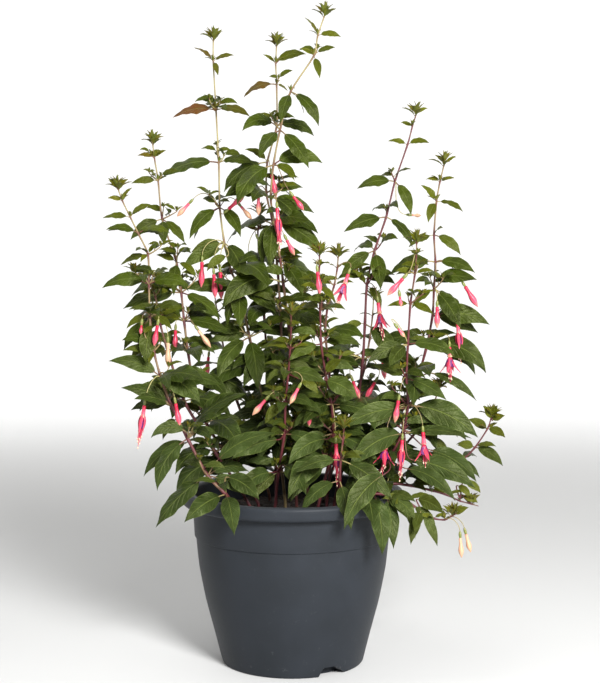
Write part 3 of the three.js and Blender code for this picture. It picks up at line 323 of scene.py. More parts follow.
FLOWERS = [
    Flower("tall_left", 7, (-68, 474), 12, 132, "bud", 24),
    Flower("tall_left", 7, (-110, 480), 10, -43, "fused", 19, 1.0),
    Flower("tall_left", 7, (-55, 477), 16, 40, "fused", 18, 1.2),
    Flower("tall_left", 6, (-96, 418), 14, -2, "bud", 27),
    Flower("tall_left", 6, (-83, 405), 22, 3, "bud", 25),
    Flower("tall_left", 6, (-77, 407), 8, 2, "bud", 29),
    Flower("tall_left", 5, (-54, 386), 14, -2, "fused", 13, 0.9),
    Flower("tall_mid", 7, (-22, 510), 20, 11, "bud", 25),
    Flower("tall_mid", 6, (-36, 486), 14, 0, "bud", 19, 1.0),
    Flower("tallest", 8, (1, 486), 10, 37, "bud", 18),
    Flower("tallest", 7, (-16, 474), 16, 4, "split", 29),
    Flower("tallest", 6, (-6, 441), 12, 27, "bud", 18),
    Flower("behind_mid", 5, (-37, 442), 12, 25, "bud", 17),
    Flower("behind_mid", 5, (-46, 418), 10, 13, "bud", 26),
    Flower("left", 4, (-122, 347), 12, -2, "bud", 20),
    Flower("left", 4, (-98, 347), 14, 36, "fused", 22, 2.0),
    Flower("far_left", 6, (-133, 356), 14, -10, "bud", 21),
    Flower("far_left", 6, (-149, 356), 12, -6, "fused", 9),
    Flower("far_left", 4, (-146, 277), 12, -9, "split", 28),
    Flower("far_left", 4, (-115, 279), 14, 10, "bud", 23),
    Flower("left_spray", 3, (-127, 336), 14, 0, "fused", 25, 2.2),
    Flower("centre", 7, (25, 409), 14, 6, "bud", 22),
    Flower("centre_twin", 6, (57, 406), 12, -20, "open", 10),
    Flower("right_young", 7, (110, 402), 10, -43, "bud", 23),
    Flower("right_young", 6, (107, 384), 14, 8, "fused", 10),
    Flower("right_young", 4, (106, 352), 14, 38, "fused", 11, 0.7),
    Flower("far_right", 6, (178, 393), 8, 32, "bud", 25),
    Flower("far_right", 5, (149, 372), 14, 0, "bud", 22),
    Flower("far_right", 4, (171, 355), 10, 6, "split", 27),
    Flower("far_right", 3, (163, 330), 12, 2, "open", 10),
    Flower("right", 4, (89, 376), 14, 8, "open", 11),
    Flower("right", 2, (63, 294), 14, 21, "bud", 20),
    Flower("right", 2, (86, 293), 14, -30, "bud", 20),
    Flower("right", 7, (125, 467), 6, 86, "fused", 9, 1.8),
    Flower("right_young", 3, (107, 279), 14, -9, "bud", 23),
    Flower("centre", 2, (44, 236), 16, 2, "split", 28),
    Flower("right_young", 2, (95, 242), 20, -5, "open", 12),
    Flower("right_young", 2, (111, 239), 22, -3, "split", 27),
    Flower("right_young", 2, (132, 247), 18, 4, "open", 12),
    Flower("front_mid", 2, (17, 268), 2, 0, "fused", 15),
    Flower("front_mid", 2, (-27, 280), 8, -41, "bud", 20, 0.8),
    Flower("front_mid", 3, (6, 293), 12, -28, "bud", 18, 0.8),
    Flower("trailing", 5, (167, 145), 6, 4, "fused", 20, 2.2),
    Flower("trailing", 5, (173, 148), 2, 15, "fused", 19, 2.3),
    Flower("back_left", 3, (-96, 310), -14, -6, "fused", 24),
    Flower("back_right", 3, (101, 308), -14, 8, "fused", 24),
    Flower("back_mid", 3, (24, 314), -16, 4, "fused", 24),
]

# Joints whose leaves are bronze all over: stem and joint, then how bronze they are.
BRONZE_WHORLS = {("tall_left", 9): 0.8, ("tall_left", 10): 0.5, ("tall_mid", 9): 0.5, ("left", 9): 0.4}

# How bronze leaves near a tip can be, and the share of it in those that point to the right.
TIP_BRONZE = 0.45
RIGHTWARD = 0.3
RIGHTWARD_BRONZE = 0.25

# Joints with a tuft of small leaves: stem and joint, then their number, length and how bronze they are.
TUFTED_JOINTS = {
    ("tall_left", 9): (10, 13, 0.9), ("tall_left", 10): (5, 10, 0.5), ("tall_left", 8): (4, 9, 0.2),
    ("tall_mid", 10): (6, 11, 0.4), ("tall_mid", 9): (4, 9, 0.2), ("tallest", 12): (5, 10, 0.3),
    ("tallest", 11): (5, 11, 0.3), ("tallest", 10): (4, 10, 0.1), ("left", 9): (6, 11, 0.3),
    ("left", 8): (5, 10, 0.2), ("far_left", 11): (5, 11, 0.2), ("far_left", 10): (4, 9, 0.2),
    ("right", 10): (6, 12, 0.1), ("right", 9): (5, 11, 0.1), ("far_right", 9): (5, 11, 0.2),
    ("far_right", 8): (5, 11, 0.1), ("right_young", 7): (6, 11, 0.1), ("centre", 7): (6, 11, 0.1),
}

# Slender stems without side shoots.
BARE_STEMS = {"low_right", "trailing", "trailing_twig"}

# Leaves between those of the solids: the stem and joint that bear each, where its blade starts and its
# tip (x, y, z), and its width.
LOOSE_LEAVES = [
    ("far_left", 1, (-74, -76, 222), (-16, -84, 250), 16),
    ("far_left", 0, (-64, -82, 206), (-32, -98, 186), 17),
    ("far_left", 2, (-106, -66, 238), (-150, -56, 202), 15),
    ("far_left", 2, (-92, -72, 257), (-46, -86, 288), 18),
    ("far_left", 3, (-116, -70, 262), (-130, -60, 240), 9),
    ("far_left", 4, (-129, -72, 309), (-90, -86, 280), 23),
    ("far_left", 5, (-146, -62, 336), (-161, -58, 321), 8),
    ("far_left", 6, (-146, -60, 358), (-169, -56, 330), 11),
    ("far_left", 6, (-142, -66, 352), (-144, -78, 318), 15),
    ("tall_left", 6, (-76, 36, 432), (-117, 24, 409), 14),
    ("tall_left", 6, (-70, 22, 424), (-90, 12, 408), 9),
    ("tall_left", 3, (-50, 32, 340), (-90, 22, 332), 13),
    ("behind_mid", 4, (-46, 44, 396), (-18, 24, 362), 21),
    ("front_mid", 3, (-2, -62, 308), (34, -72, 298), 13),
    ("front_mid", 3, (8, -66, 302), (26, -72, 287), 9),
    ("front_mid", 2, (-12, -58, 276), (-27, -66, 257), 10),
    ("front_mid", 1, (-14, -58, 240), (-60, -84, 224), 17),
    ("front_mid", 0, (-8, -58, 214), (14, -94, 190), 16),
    ("front_mid", 0, (-22, -54, 206), (-52, -82, 190), 15),
    ("centre", 0, (32, -52, 224), (-4, -94, 186), 22),
    ("centre", 1, (34, -54, 240), (-4, -84, 218), 18),
    ("centre", 3, (34, -60, 300), (65, -72, 283), 18),
    ("centre", 3, (34, -60, 308), (50, -72, 322), 9),
    ("right_young", 1, (116, -40, 244), (181, -58, 241), 10),
    ("right_young", 1, (110, -44, 244), (55, -82, 213), 21),
    ("right_young", 2, (112, -44, 270), (48, -68, 252), 18),
    ("right_young", 1, (122, -48, 218), (184, -68, 192), 20),
    ("right_young", 1, (142, -34, 226), (188, -42, 194), 17),
    ("right_young", 0, (117, -48, 209), (163, -74, 180), 14),
    ("right_young", 1, (140, -30, 237), (160, -36, 219), 10),
    ("right_young", 0, (89, -95, 210), (50, -126, 162), 21),
    ("trailing", 0, (82, -88, 187), (88, -102, 132), 18),
    ("trailing", 1, (98, -78, 184), (121, -96, 166), 14),
    ("trailing", 3, (125, -72, 182), (150, -86, 170), 14),
    ("trailing", 2, (122, -72, 174), (143, -76, 151), 10),
    ("trailing", 2, (112, -68, 172), (123, -70, 141), 6),
    ("trailing", 6, (161, -78, 168), (175, -84, 176), 7),
    ("trailing_twig", 4, (172, -14, 186), (184, -20, 174), 8),
    ("trailing_twig", 4, (180, -14, 190), (195, -18, 179), 9),
    ("trailing_twig", 5, (178, -16, 176), (192, -20, 169), 8),
    ("low_right", 5, (190, 4, 224), (172, -6, 227), 9),
    ("low_right", 5, (194, 6, 223), (220, -6, 205), 11),
    ("low_right", 6, (204, 6, 243), (183, -2, 254), 9),
    ("low_right", 6, (206, 6, 243), (222, -6, 235), 9),
    ("low_right", 7, (208, 4, 254), (199, 0, 268), 7),
    ("low_right", 7, (210, 4, 254), (214, -4, 269), 7),
    ("low_right", 7, (210, 4, 252), (222, -4, 258), 7),
    ("far_right", 2, (146, 0, 302), (191, -14, 274), 10),
    ("far_right", 6, (151, -10, 402), (189, -24, 400), 14),
]

# Sizes that the solids were placed with, so that each fine leaf and flower finds its own place again.
SOIL_LEVEL = 156
STEM_BURIED = 35
COLLAR_END = 9
LOWEST_STEM_RADIUS = 1.75
TIP_STEM_RADIUS = 0.6
LONGEST_LEAF = 80
LEAF_GROWTH_REACH = 98
FACING_ROLL = 38
BACK_DEPTH = 70
SHORTEST_LEAF = 15
TUFT_LEAVES = 4
PETIOLE_SHARE = 0.13
NOTABLE_BEND = 24
OVARY_LENGTH = 6.5
SEAT_GAP = 0.3
STYLE_REACH = 29
SPLIT_REACH = 16
OPEN_TURN = 35
TIP_MATCH = 0.05
LEAF_TRIES = [
    (0, 0, 1), (12, 0, 1), (-12, 0, 1), (0, 14, 1), (0, -14, 1), (24, 6, 1), (-24, 6, 1), (14, 24, 0.92),
    (-14, 24, 0.92), (36, -8, 0.88), (-36, -8, 0.88), (30, 30, 0.84), (-30, 30, 0.84), (0, 40, 0.8),
    (48, 10, 0.76), (-48, 10, 0.76), (20, -24, 0.7), (-20, -24, 0.7), (0, 52, 0.66), (56, 30, 0.6),
    (-56, 30, 0.6),
]
FLOWER_SHIFTS = [0, 4, -4, 8, -8, 13, -13, 18, -18, 24, -24, 30, -30]

# How the finer leaves are set: their bend, how far they are rolled to show their upper face, the turn
# from one leaf of a tuft to the next, how far in front of a flower added leaves stay away, and the space
# that they leave round the pot.
TRIES_IN_PLACE = 5
LOOSE_BEND = 22
SHOWN_TURN = 16
SHOOT_TURN = 24
TUFT_TURN = 137.5
VIEW_REACH = 100
POT_CLEAR_RADIUS = 121
POT_CLEAR_HEIGHT = 3
SHOOT_GROWTH_REACH = 85

# Starts of the seeded draws. The number of the stem or flower is added.
PLAN_SEED = 4000
PLAN_SEED_STEP = 97
STEM_SEED = 700
SHOOT_SEED = 900
BLOOM_SEED = 300
COROLLA_SEED = 500
LOOSE_LEAF_SEED = 41
CRUMB_SEED = 31

# How many side shoots and single leaves are tried at a joint, how likely each is in the middle of the
# bush, how many places a leaf tries, and the share of it that has to be clear of others.
SHOOTS_TRIED = 4
SHOOT_CHANCE = 0.62
LEAVES_TRIED = 5
PLACING_TRIES = 5
LEAF_CHANCE = 0.3
LEAF_ROOM = 0.93
PLANNED_LEAF_ROOM = 0.7

# The pot in millimetres: its foot, and the reach of a drainage notch either way from its middle. Then
# the compost's side against the pot, as pairs of radius and height.
FOOT_RADIUS = 75
FOOT_INSIDE = 63.01
FOOT_OUTSIDE = 82
LIP_DEPTH = 15
POT_COLUMNS = 168
NARROWEST_COLUMN = 0.006
FIRST_NOTCH_TURN = -56.5
NOTCH_REACH = 16.2
NOTCH_STEEP_REACH = 6.4
NOTCH_HEIGHT = 10
SOIL_COLUMNS = 120
SOIL_SIDE = [(53, 6.6), (55, 17.6), (74, 17.6), (87.6, 66), (97.8, 133), (100, 150)]

# The studio in metres, with the lens and its sensor in millimetres. Each lamp has its place, its width
# and the name of the setting that holds its power.
BACKDROP_FLAT = 3
BACKDROP_CURVE = 1
BACKDROP_TOP = 5
BACKDROP_COLUMNS = 32
CAMERA_ACROSS = 0.0078
CAMERA_DOWN_TILT = 3.57
CAMERA_LENS = 72.74
CAMERA_SENSOR = 36
LAMP_AIM = Vector((0, 0, 0.3))
LAMPS = {
    "above_camera": ((0.62, -1.55, 1.05), 0.6, "key"),
    "overhead": ((-0.5, 0.0, 2.1), 1.2, "top"),
    "beside_left": ((-1.6, -1.2, 0.7), 1.0, "fill"),
}

# The least length of each size of leaf in millimetres, the largest first.
LEAST_LENGTHS = {"largest": 58, "large": 34, "medium": 21, "small": 0}

# Rows along a blade, values across it and its half thickness, by the size of the leaf.
BLADE_DETAIL = {
    "largest": (30, (-1, -0.68, -0.34, 0, 0.34, 0.68, 1), 0.32),
    "large": (24, (-1, -0.6, 0, 0.6, 1), 0.28),
    "medium": (16, (-1, -0.55, 0, 0.55, 1), 0.24),
    "small": (10, (-1, -0.5, 0, 0.5, 1), 0.2),
}

# Where the waves of a blade crest, as shares of its length: the first crest and the distance between.
BLADE_WAVES = {"largest": (0.15, 0.55), "large": (0.3, 0.72), "medium": (0.3, 0.72), "small": (0.4, 1)}


# The numbers of the finishes on a leafy stem, on a bloom and on a corolla.
LEAF, BARK, OVARY, SMALL_BUD = range(4)
BUD, SEPAL, PETAL, FILAMENT, ANTHER = range(5)
INNER_PETAL, INNER_FILAMENT, INNER_ANTHER = range(3)


# Small helpers

def lerp(a, b, share):
    return a + (b - a) * share


def along(start, *steps):
    """The sum of a start point and any number of pairs of a direction and a distance."""
    end = start.copy()
    for direction, distance in zip(steps[::2], steps[1::2]):
        end += direction * distance
    return end


def square_to(axis):
    """Two directions square to an axis."""
    first = Vector((0, 1, 0)).cross(axis)
    if first.length < 1e-6:
        first = Vector((1, 0, 0))
    first.normalize()
    return first, axis.cross(first).normalized()


def beside(axis, angle):
    """The direction square to an axis at an angle round it."""
    first, second = square_to(axis)
    return first * math.cos(angle) + second * math.sin(angle)


def circle(radius, count):
    """Points (x, y) evenly round the middle."""
    turns = [2 * math.pi * k / count for k in range(count)]
    return [(radius * math.cos(turn), radius * math.sin(turn)) for turn in turns]


def seeded_draws(seed):
    """The draws that the solids were placed with, one number from 0 to 1 after another."""
    state = seed
    while True:
        state = (state * 1664525 + 1013904223) % 4294967296
        yield state / 4294967296


# How far a smooth path leaves the straight lines between its points.
CURVE_SHARE = 0.6


def smooth_path(points, steps):
    """Points along a curve through all the given points, between a smooth one and the straight lines."""
    path = []
    for i in range(len(points) - 1):
        before = points[max(i - 1, 0)]
        start, end = points[i], points[i + 1]
        after = points[min(i + 2, len(points) - 1)]
        for k in range(steps):
            t = k / steps
            curve = 0.5 * (
                2 * start
                + (end - before) * t
                + (2 * before - 5 * start + 4 * end - after) * t ** 2
                + (3 * start - before - 3 * end + after) * t ** 3
            )
            path.append(start.lerp(end, t).lerp(curve, CURVE_SHARE))
    path.append(points[-1].copy())
    return path


def bezier(a, b, c, d, steps):
    """Points along a curve from a to d that leaves towards b and arrives from c."""
    path = []
    for k in range(steps + 1):
        t = k / steps
        path.append(a * (1 - t) ** 3 + b * 3 * t * (1 - t) ** 2 + c * 3 * t ** 2 * (1 - t) + d * t ** 3)
    return path


# Meshes

def linked(name, data):
    """A new object in the scene."""
    thing = bpy.data.objects.new(name, data)
    bpy.context.scene.collection.objects.link(thing)
    return thing


class Surface:
    """Corners and faces of one piece in millimetres, with the values that its finishes read.

    `place` is where on its leaf, petal or stem a corner lies, with a draw for the whole of it.
    `trait` is how old it is, how bronze, and whether it is an underside.
    """

    def __init__(self):
        self.corners = []
        self.faces = []
        self.finishes = []
        self.places = []
        self.traits = []

    def corner(self, point, place=(0, 0, 0), trait=(1, 0, 0)):
        self.corners.append(point)
        self.places.append(place)
        self.traits.append(trait)
        return len(self.corners) - 1

    def face(self, corners, finish):
        self.faces.append(corners)
        self.finishes.append(finish)

    def strip(self, lower, upper, finish, closed=True):
        """Faces between two rows of corners."""
        count = len(lower) if closed else len(lower) - 1
        for j in range(count):
            k = (j + 1) % len(lower)
            self.face((lower[j], lower[k], upper[k], upper[j]), finish)

    def fan(self, centre, ring, finish, closed=True):
        """Triangles from a centre to a row of corners."""
        count = len(ring) if closed else len(ring) - 1
        for j in range(count):
            self.face((centre, ring[j], ring[(j + 1) % len(ring)]), finish)

    def skin(self, rings, start, end, finish):
        """Faces round a row of rings, closed at either end by a fan from a corner."""
        for lower, upper in zip(rings, rings[1:]):
            self.strip(lower, upper, finish)
        self.fan(start, rings[0][::-1], finish)
        self.fan(end, rings[-1], finish)

    def build(self, name, finishes, slot, crease, *nodes):
        """Makes the piece, which rides on the part's only body and stands for the given nodes.

        Edges that bend by more than `crease` degrees stay sharp.
        """
        mesh = bpy.data.meshes.new(name)
        mesh.from_pydata([point * MM for point in self.corners], [], self.faces)
        for material in finishes:
            mesh.materials.append(material)
        mesh.polygons.foreach_set("material_index", self.finishes)
        mesh.polygons.foreach_set("use_smooth", [True] * len(self.faces))
        for title, rows in (("place", self.places), ("trait", self.traits)):
            values = mesh.attributes.new(title, "FLOAT_VECTOR", "POINT")
            values.data.foreach_set("vector", [number for row in rows for number in row])
        shape = bmesh.new()
        shape.from_mesh(mesh)
        bmesh.ops.recalc_face_normals(shape, faces=shape.faces)
        shape.to_mesh(mesh)
        shape.free()
        mesh.set_sharp_from_angle(angle=math.radians(crease))
        piece = linked(name, mesh)
        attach(piece, "root")
        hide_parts(*nodes)


def tube(surface, path, radii, sides, finish, places, trait=(1, 0, 0)):
    """A closed round rod along a path, with a radius and a place for each point."""
    first, second = square_to((path[1] - path[0]).normalized())
    rings = []
    for i, point in enumerate(path):
        ahead = path[min(i + 1, len(path) - 1)] - path[max(i - 1, 0)]
        axis = ahead.normalized()
        first = (first - axis * first.dot(axis)).normalized()
        second = axis.cross(first)
        ring = []
        for j in range(sides):
            angle = 2 * math.pi * j / sides
            reach = radii[i]
            corner = along(point, first, reach * math.cos(angle), second, reach * math.sin(angle))
            ring.append(surface.corner(corner, places[i], trait))
        rings.append(ring)
    start = surface.corner(path[0], places[0], trait)
    end = surface.corner(path[-1], places[-1], trait)
    surface.skin(rings, start, end, finish)


def twig(surface, path, first_radius, last_radius, finish, red=0):
    """A thin rod along a path, thinner towards its end."""
    shares = [k / (len(path) - 1) for k in range(len(path))]
    radii = [lerp(first_radius, last_radius, share) for share in shares]
    tube(surface, path, radii, 5, finish, [(share, 0, red) for share in shares])


def turned(surface, start, axis, profile, sides, finish, tint=0, lobes=0):
    """A closed turned shape hanging along an axis, from pairs of distance and radius."""
    length = profile[-1][0] - profile[0][0]
    first, second = square_to(axis)
    rings = []
    for distance, radius in profile:
        share = (distance - profile[0][0]) / length
        ring = []
        for j in range(sides):
            angle = 2 * math.pi * j / sides
            reach = radius * (1 + lobes * min(1, 3 * share) * math.cos(4 * angle))
            corner = along(
                start, axis, distance, first, reach * math.cos(angle), second, reach * math.sin(angle)
            )
            ring.append(surface.corner(corner, (share, (4 * j / sides) % 1, tint)))
        rings.append(ring)
    ends = [
        surface.corner(along(start, axis, profile[i][0]), (share, 0, tint)) for i, share in ((0, 0), (-1, 1))
    ]
    surface.skin(rings, *ends, finish)


# Blades

@dataclass
class Blade:
    """A leaf or sepal on a midrib that bends evenly from `rise` to minus `fall` degrees."""

    root: Vector
    out: Vector
    up: Vector
    rise: float
    fall: float
    length: float
    width: float = 0
    roll: float = 0
    stalk: float = 0
    fold: float = 0
    wave: float = 0
    crests: tuple = (0.3, 0.72)

    def at(self, share):
        """The midrib's point there, its direction, the blade's normal and its side."""
        start = math.radians(self.rise)
        bend = math.radians(self.rise + self.fall)
        heading = start - bend * share
        outward = self.length * (math.sin(start) - math.sin(heading)) / bend
        upward = self.length * (math.cos(heading) - math.cos(start)) / bend
        centre = along(self.root, self.out, outward, self.up, upward)
        direction = self.out * math.cos(heading) + self.up * math.sin(heading)
        flat = self.up * math.cos(heading) - self.out * math.sin(heading)
        across = direction.cross(flat)
        roll = math.radians(self.roll)
        normal = flat * math.cos(roll) + across * math.sin(roll)
        side = across * math.cos(roll) - flat * math.sin(roll)
        return centre, direction, normal, side


def blade_outline(t):
    """Half the width of a blade along its length, as a share of its widest: a drawn-out tip."""
    return t ** 0.8 * (1 - t) ** 1.3 / 0.2477


def grow_blade(surface, blade, detail, finish, tint, trait, teeth=0.0):
    """A thin closed blade with a toothed, waved margin."""
    rows, columns, thick = detail
    top_rows, low_rows = [], []
    age, bronze, _ = trait
    crest, span = blade.crests
    for i in range(1, rows):
        t = i / rows
        centre, direction, normal, side = blade.at(blade.stalk + t * (1 - blade.stalk))
        half = blade.width / 2 * blade_outline(t)
        tooth = teeth if i % 2 else -teeth
        swing = math.cos(2 * math.pi * (t - crest) / span)
        top, low = [], []
        for u in columns:
            edge = abs(u) == 1
            reach = u * half + (math.copysign(tooth * half, u) if edge else 0)
            ahead = tooth * blade.length / rows if edge else 0
            lift = blade.fold * abs(u) ** 1.3 + blade.wave * u * abs(u) * swing
            lift += 0.1 * math.sin(7.5 * math.pi * t + 7 * tint + math.copysign(0.9, u)) * abs(u) ** 3
            middle = along(centre, side, reach, direction, ahead, normal, lift * half)
            place = (t, u, tint)
            if edge:
                corner = surface.corner(middle, place, (age, bronze, 0))
                top.append(corner)
                low.append(corner)
            else:
                depth = thick * (1 - u * u)
                top.append(surface.corner(middle + normal * depth, place, (age, bronze, 0)))
                low.append(surface.corner(middle - normal * depth, place, (age, bronze, 1)))
        top_rows.append(top)
        low_rows.append(low)
    base = surface.corner(blade.at(blade.stalk)[0], (0, 0, tint), (age, bronze, 0))
    tip = surface.corner(blade.at(1)[0], (1, 0, tint), (age, bronze, 0))
    surface.fan(base, top_rows[0][::-1], finish, closed=False)
    surface.fan(base, low_rows[0], finish, closed=False)
    surface.fan(tip, top_rows[-1], finish, closed=False)
    surface.fan(tip, low_rows[-1][::-1], finish, closed=False)
    for here, ahead in zip(top_rows, top_rows[1:]):
        surface.strip(ahead, here, finish, closed=False)
    for here, ahead in zip(low_rows, low_rows[1:]):
        surface.strip(here, ahead, finish, closed=False)


def grow_stalk(surface, blade, radius, tint, trait, rib):
    """A leaf's stalk, which runs on under the blade as its rib."""
    reach = 0.86 if rib else blade.stalk + 0.06
    path, radii, places = [], [], []
    steps = 12 if rib else 4
    for i in range(steps + 1):
        share = reach * i / steps
        centre, _, normal, _ = blade.at(share)
        inside = max(0.0, share - blade.stalk)
        path.append(centre - normal * min(0.35, 6 * inside))
        radii.append(radius * (1 - 0.8 * share / reach))
        places.append((0.35 + 0.4 * share, 0, tint))
    tube(surface, path, radii, 4, BARK, places, trait)


# Finishes

def tone(red, green, blue):
    """A colour given from 0 to 255 as the eye sees it, in the linear values that the shaders take."""
    values = []
    for value in (red, green, blue):
        value /= 255
        values.append(value / 12.92 if value <= 0.04045 else ((value + 0.055) / 1.055) ** 2.4)
    return tuple(values)


class Value:
    """An output of a finish's nodes. Sums with it add their Math nodes."""

    def __init__(self, finish, socket):
        self.finish = finish
        self.socket = socket

    def math(self, operation, *values, clamp=False):
        settings = {"operation": operation, "use_clamp": clamp}
        return self.finish.node("ShaderNodeMath", settings, dict(enumerate(values)))

    def __add__(self, other):
        return self.math("ADD", self, other)

    __radd__ = __add__

    def __sub__(self, other):
        return self.math("SUBTRACT", self, other)

    def __rsub__(self, other):
        return self.math("SUBTRACT", other, self)

    def __mul__(self, other):
        return self.math("MULTIPLY", self, other)

    __rmul__ = __mul__

    def __pow__(self, other):
        return self.math("POWER", self, other)

    def __abs__(self):
        return self.math("ABSOLUTE", self)

    def fraction(self):
        return self.math("FRACT", self)

    def larger(self, other):
        return self.math("MAXIMUM", self, other)

    def clamped(self):
        return self.math("ADD", self, 0.0, clamp=True)

    def rising(self, low, high):
        """Goes smoothly from 0 at `low` to 1 at `high`, or back where `low` is the larger."""
        turned_round = low > high
        limits = (high, low) if turned_round else (low, high)
        ends = (1.0, 0.0) if turned_round else (0.0, 1.0)
        values = {0: self, 1: limits[0], 2: limits[1], 3: ends[0], 4: ends[1]}
        return self.finish.node("ShaderNodeMapRange", {"interpolation_type": "SMOOTHSTEP"}, values)


class Finish:
    """A material and its nodes."""

    def __init__(self, name):
        self.material = bpy.data.materials.new(name)
        self.material.use_nodes = True
        self.tree = self.material.node_tree
        self.tree.nodes.clear()

    def node(self, kind, settings, values, output=0):
        """Adds a node: its settings first, then the values or links of its sockets."""
        node = self.tree.nodes.new(kind)
        for name, setting in settings.items():
            setattr(node, name, setting)
        for name, value in values.items():
            if isinstance(value, Value):
                self.tree.links.new(value.socket, node.inputs[name])
            else:
                node.inputs[name].default_value = value
        return Value(self, node.outputs[output]) if node.outputs else None

    def attribute(self, name):
        """The three numbers that each corner carries under this name."""
        settings = {"attribute_type": "GEOMETRY", "attribute_name": name}
        vector = self.node("ShaderNodeAttribute", settings, {}, "Vector")
        split = self.node("ShaderNodeSeparateXYZ", {}, {0: vector})
        outputs = split.socket.node.outputs
        return [Value(self, outputs[i]) for i in range(3)]

    def place(self):
        """Where a point is on the object, in metres."""
        return self.node("ShaderNodeTexCoord", {}, {}, "Object")

    def axis(self, number):
        """How far a point is along the object's x, y or z, in metres."""
        return self.node("ShaderNodeSeparateXYZ", {}, {0: self.place()}, number)

    def noise(self, scale, detail=2.0, roughness=0.5):
        values = {"Vector": self.place(), "Scale": scale, "Detail": detail, "Roughness": roughness}
        return self.node("ShaderNodeTexNoise", {"noise_dimensions": "3D"}, values, "Fac")

    def cells(self, scale):
        values = {"Vector": self.place(), "Scale": scale}
        return self.node("ShaderNodeTexVoronoi", {"feature": "F1"}, values, "Distance")

    def mix(self, share, first, second):
        """A colour between two others."""
        colors = [one if isinstance(one, Value) else (*one, 1) for one in (first, second)]
        values = {0: share, 6: colors[0], 7: colors[1]}
        return self.node("ShaderNodeMix", {"data_type": "RGBA"}, values, 2)

    def bump(self, height, distance, strength=1.0):
        values = {"Strength": strength, "Distance": distance, "Height": height}
        return self.node("ShaderNodeBump", {}, values)

    def finished(self, **sockets):
        """Joins the surface shader to the output. Names are its sockets', with _ for a space."""
        values = {name.replace("_", " "): value for name, value in sockets.items()}
        shader = self.node("ShaderNodeBsdfPrincipled", {}, values)
        self.node("ShaderNodeOutputMaterial", {}, {"Surface": shader})
        return self.material


def leaf_finish(look):
    """Dark, softly shining leaves with arching veins, greener when young and bronze at some tips."""
    finish = Finish("fuchsia_leaf")
    lengthwise, crosswise, tint = finish.attribute("place")
    age, bronze, under = finish.attribute("trait")
    side = abs(crosswise)
    patches = finish.noise(70.0)
    grain = finish.noise(1400.0, detail=3.0)
    puckers = finish.noise(420.0)
    midrib = side.rising(0.08, 0.02)
    arches = ((lengthwise - 0.34 * side + 0.1 * side * side) * 8.0 + 0.6 * tint).fraction()
    side_veins = abs(arches - 0.5).rising(0.36, 0.5) * side.rising(1.0, 0.7)
    veins = midrib.larger(0.75 * side_veins)
    shade = (0.55 * patches.rising(0.3, 0.7) + 0.55 * tint).clamped()
    height = finish.axis(2)
    # Painted shade: leaves lower in the bush are mixed towards a shaded green.
    green = finish.mix(height.rising(0.42, 0.2) * 0.85, look.green, look.low)
    color = finish.mix(shade, look.dark, green)
    color = finish.mix((1 - age) ** 1.3, color, look.young)
    blush = (bronze * (0.55 + 0.9 * patches)).clamped()
    color = finish.mix(blush, color, look.bronze)
    color = finish.mix(0.4 * midrib + 0.14 * side_veins, color, look.vein)
    color = finish.mix(side.rising(0.92, 1.0) * 0.3, color, look.vein)
    color = finish.mix(0.55 * under, color, look.underside)
    quilt = 0.5 * grain + 0.7 * puckers - 0.9 * veins
    return finish.finished(
        Base_Color=color,
        Roughness=0.31 + 0.14 * grain + 0.24 * under,
        Normal=finish.bump(quilt, 0.0009, 0.7),
        Specular_IOR_Level=0.22,
        Specular_Tint=(0.95, 1.0, 0.5, 1),
    )


def bark_finish(look):
    """Thin stems and stalks: pale green to dark red, with fine lengthwise streaks."""
    finish = Finish("fuchsia_stem")
    _, _, red = finish.attribute("place")
    patches = finish.noise(45.0)
    grain = finish.noise(1100.0, detail=4.0)
    share = (red * 1.5 + 0.7 * patches - 0.55).clamped()
    color = finish.mix(share, look.green, look.red)
    color = finish.mix(grain.rising(0.55, 0.85) * 0.4, color, look.streak)
    return finish.finished(
        Base_Color=color, Roughness=0.48 + 0.15 * grain, Normal=finish.bump(grain, 0.0002, 0.6)
    )


def ovary_finish(look):
    finish = Finish("fuchsia_ovary")
    grain = finish.noise(900.0)
    color = finish.mix(0.35 * grain.rising(0.35, 0.8), look.ovary, look.pink_tip)
    return finish.finished(Base_Color=color, Roughness=0.35 + 0.1 * grain)


FLESHY = {"Subsurface_Weight": 0.12, "Subsurface_Radius": (0.004, 0.0015, 0.001)}


def bud_finish(look):
    """Buds and tubes: rose red above, paler towards the tip, with a darker seam between the sepals."""
    finish = Finish("fuchsia_bud")
    share, seam, tint = finish.attribute("place")
    streaks = finish.noise(260.0, detail=3.0)
    fade = share * 1.15 - 0.25 + 0.5 * (streaks - 0.5) + 0.5 * tint
    color = finish.mix(fade.rising(0.0, 0.62), look.rose, look.pink)
    color = finish.mix(fade.rising(0.62, 1.1), color, look.pink_tip)
    seams = seam.rising(0.4, 0.0) * share.rising(0.2, 0.5) * tint.rising(1.4, 0.4)
    color = finish.mix(0.55 * seams, color, look.rose)
    return finish.finished(
        Base_Color=color,
        Roughness=0.3 + 0.12 * streaks,
        Normal=finish.bump(streaks + 0.5 * seam, 0.0003, 0.5),
        **FLESHY,
    )


def sepal_finish(look):
    """Parted sepals: rose outside, deeper inside, with lengthwise veins."""
    finish = Finish("fuchsia_sepal")
    share, across, tint = finish.attribute("place")
    _, _, inside = finish.attribute("trait")
    streaks = finish.noise(300.0, detail=3.0)
    veins = abs((across * 2.5 + 0.5).fraction() - 0.5).rising(0.3, 0.5)
    color = finish.mix((share + 0.4 * tint - 0.1).clamped(), look.rose, look.pink)
    color = finish.mix(0.3 * veins + 0.45 * inside, color, look.rose)
    color = finish.mix(share.rising(0.84, 1.0) * 0.5, color, look.pink_tip)
    return finish.finished(
        Base_Color=color,
        Roughness=0.34 + 0.14 * streaks,
        Normal=finish.bump(streaks + veins, 0.0002, 0.5),
        **FLESHY,
    )


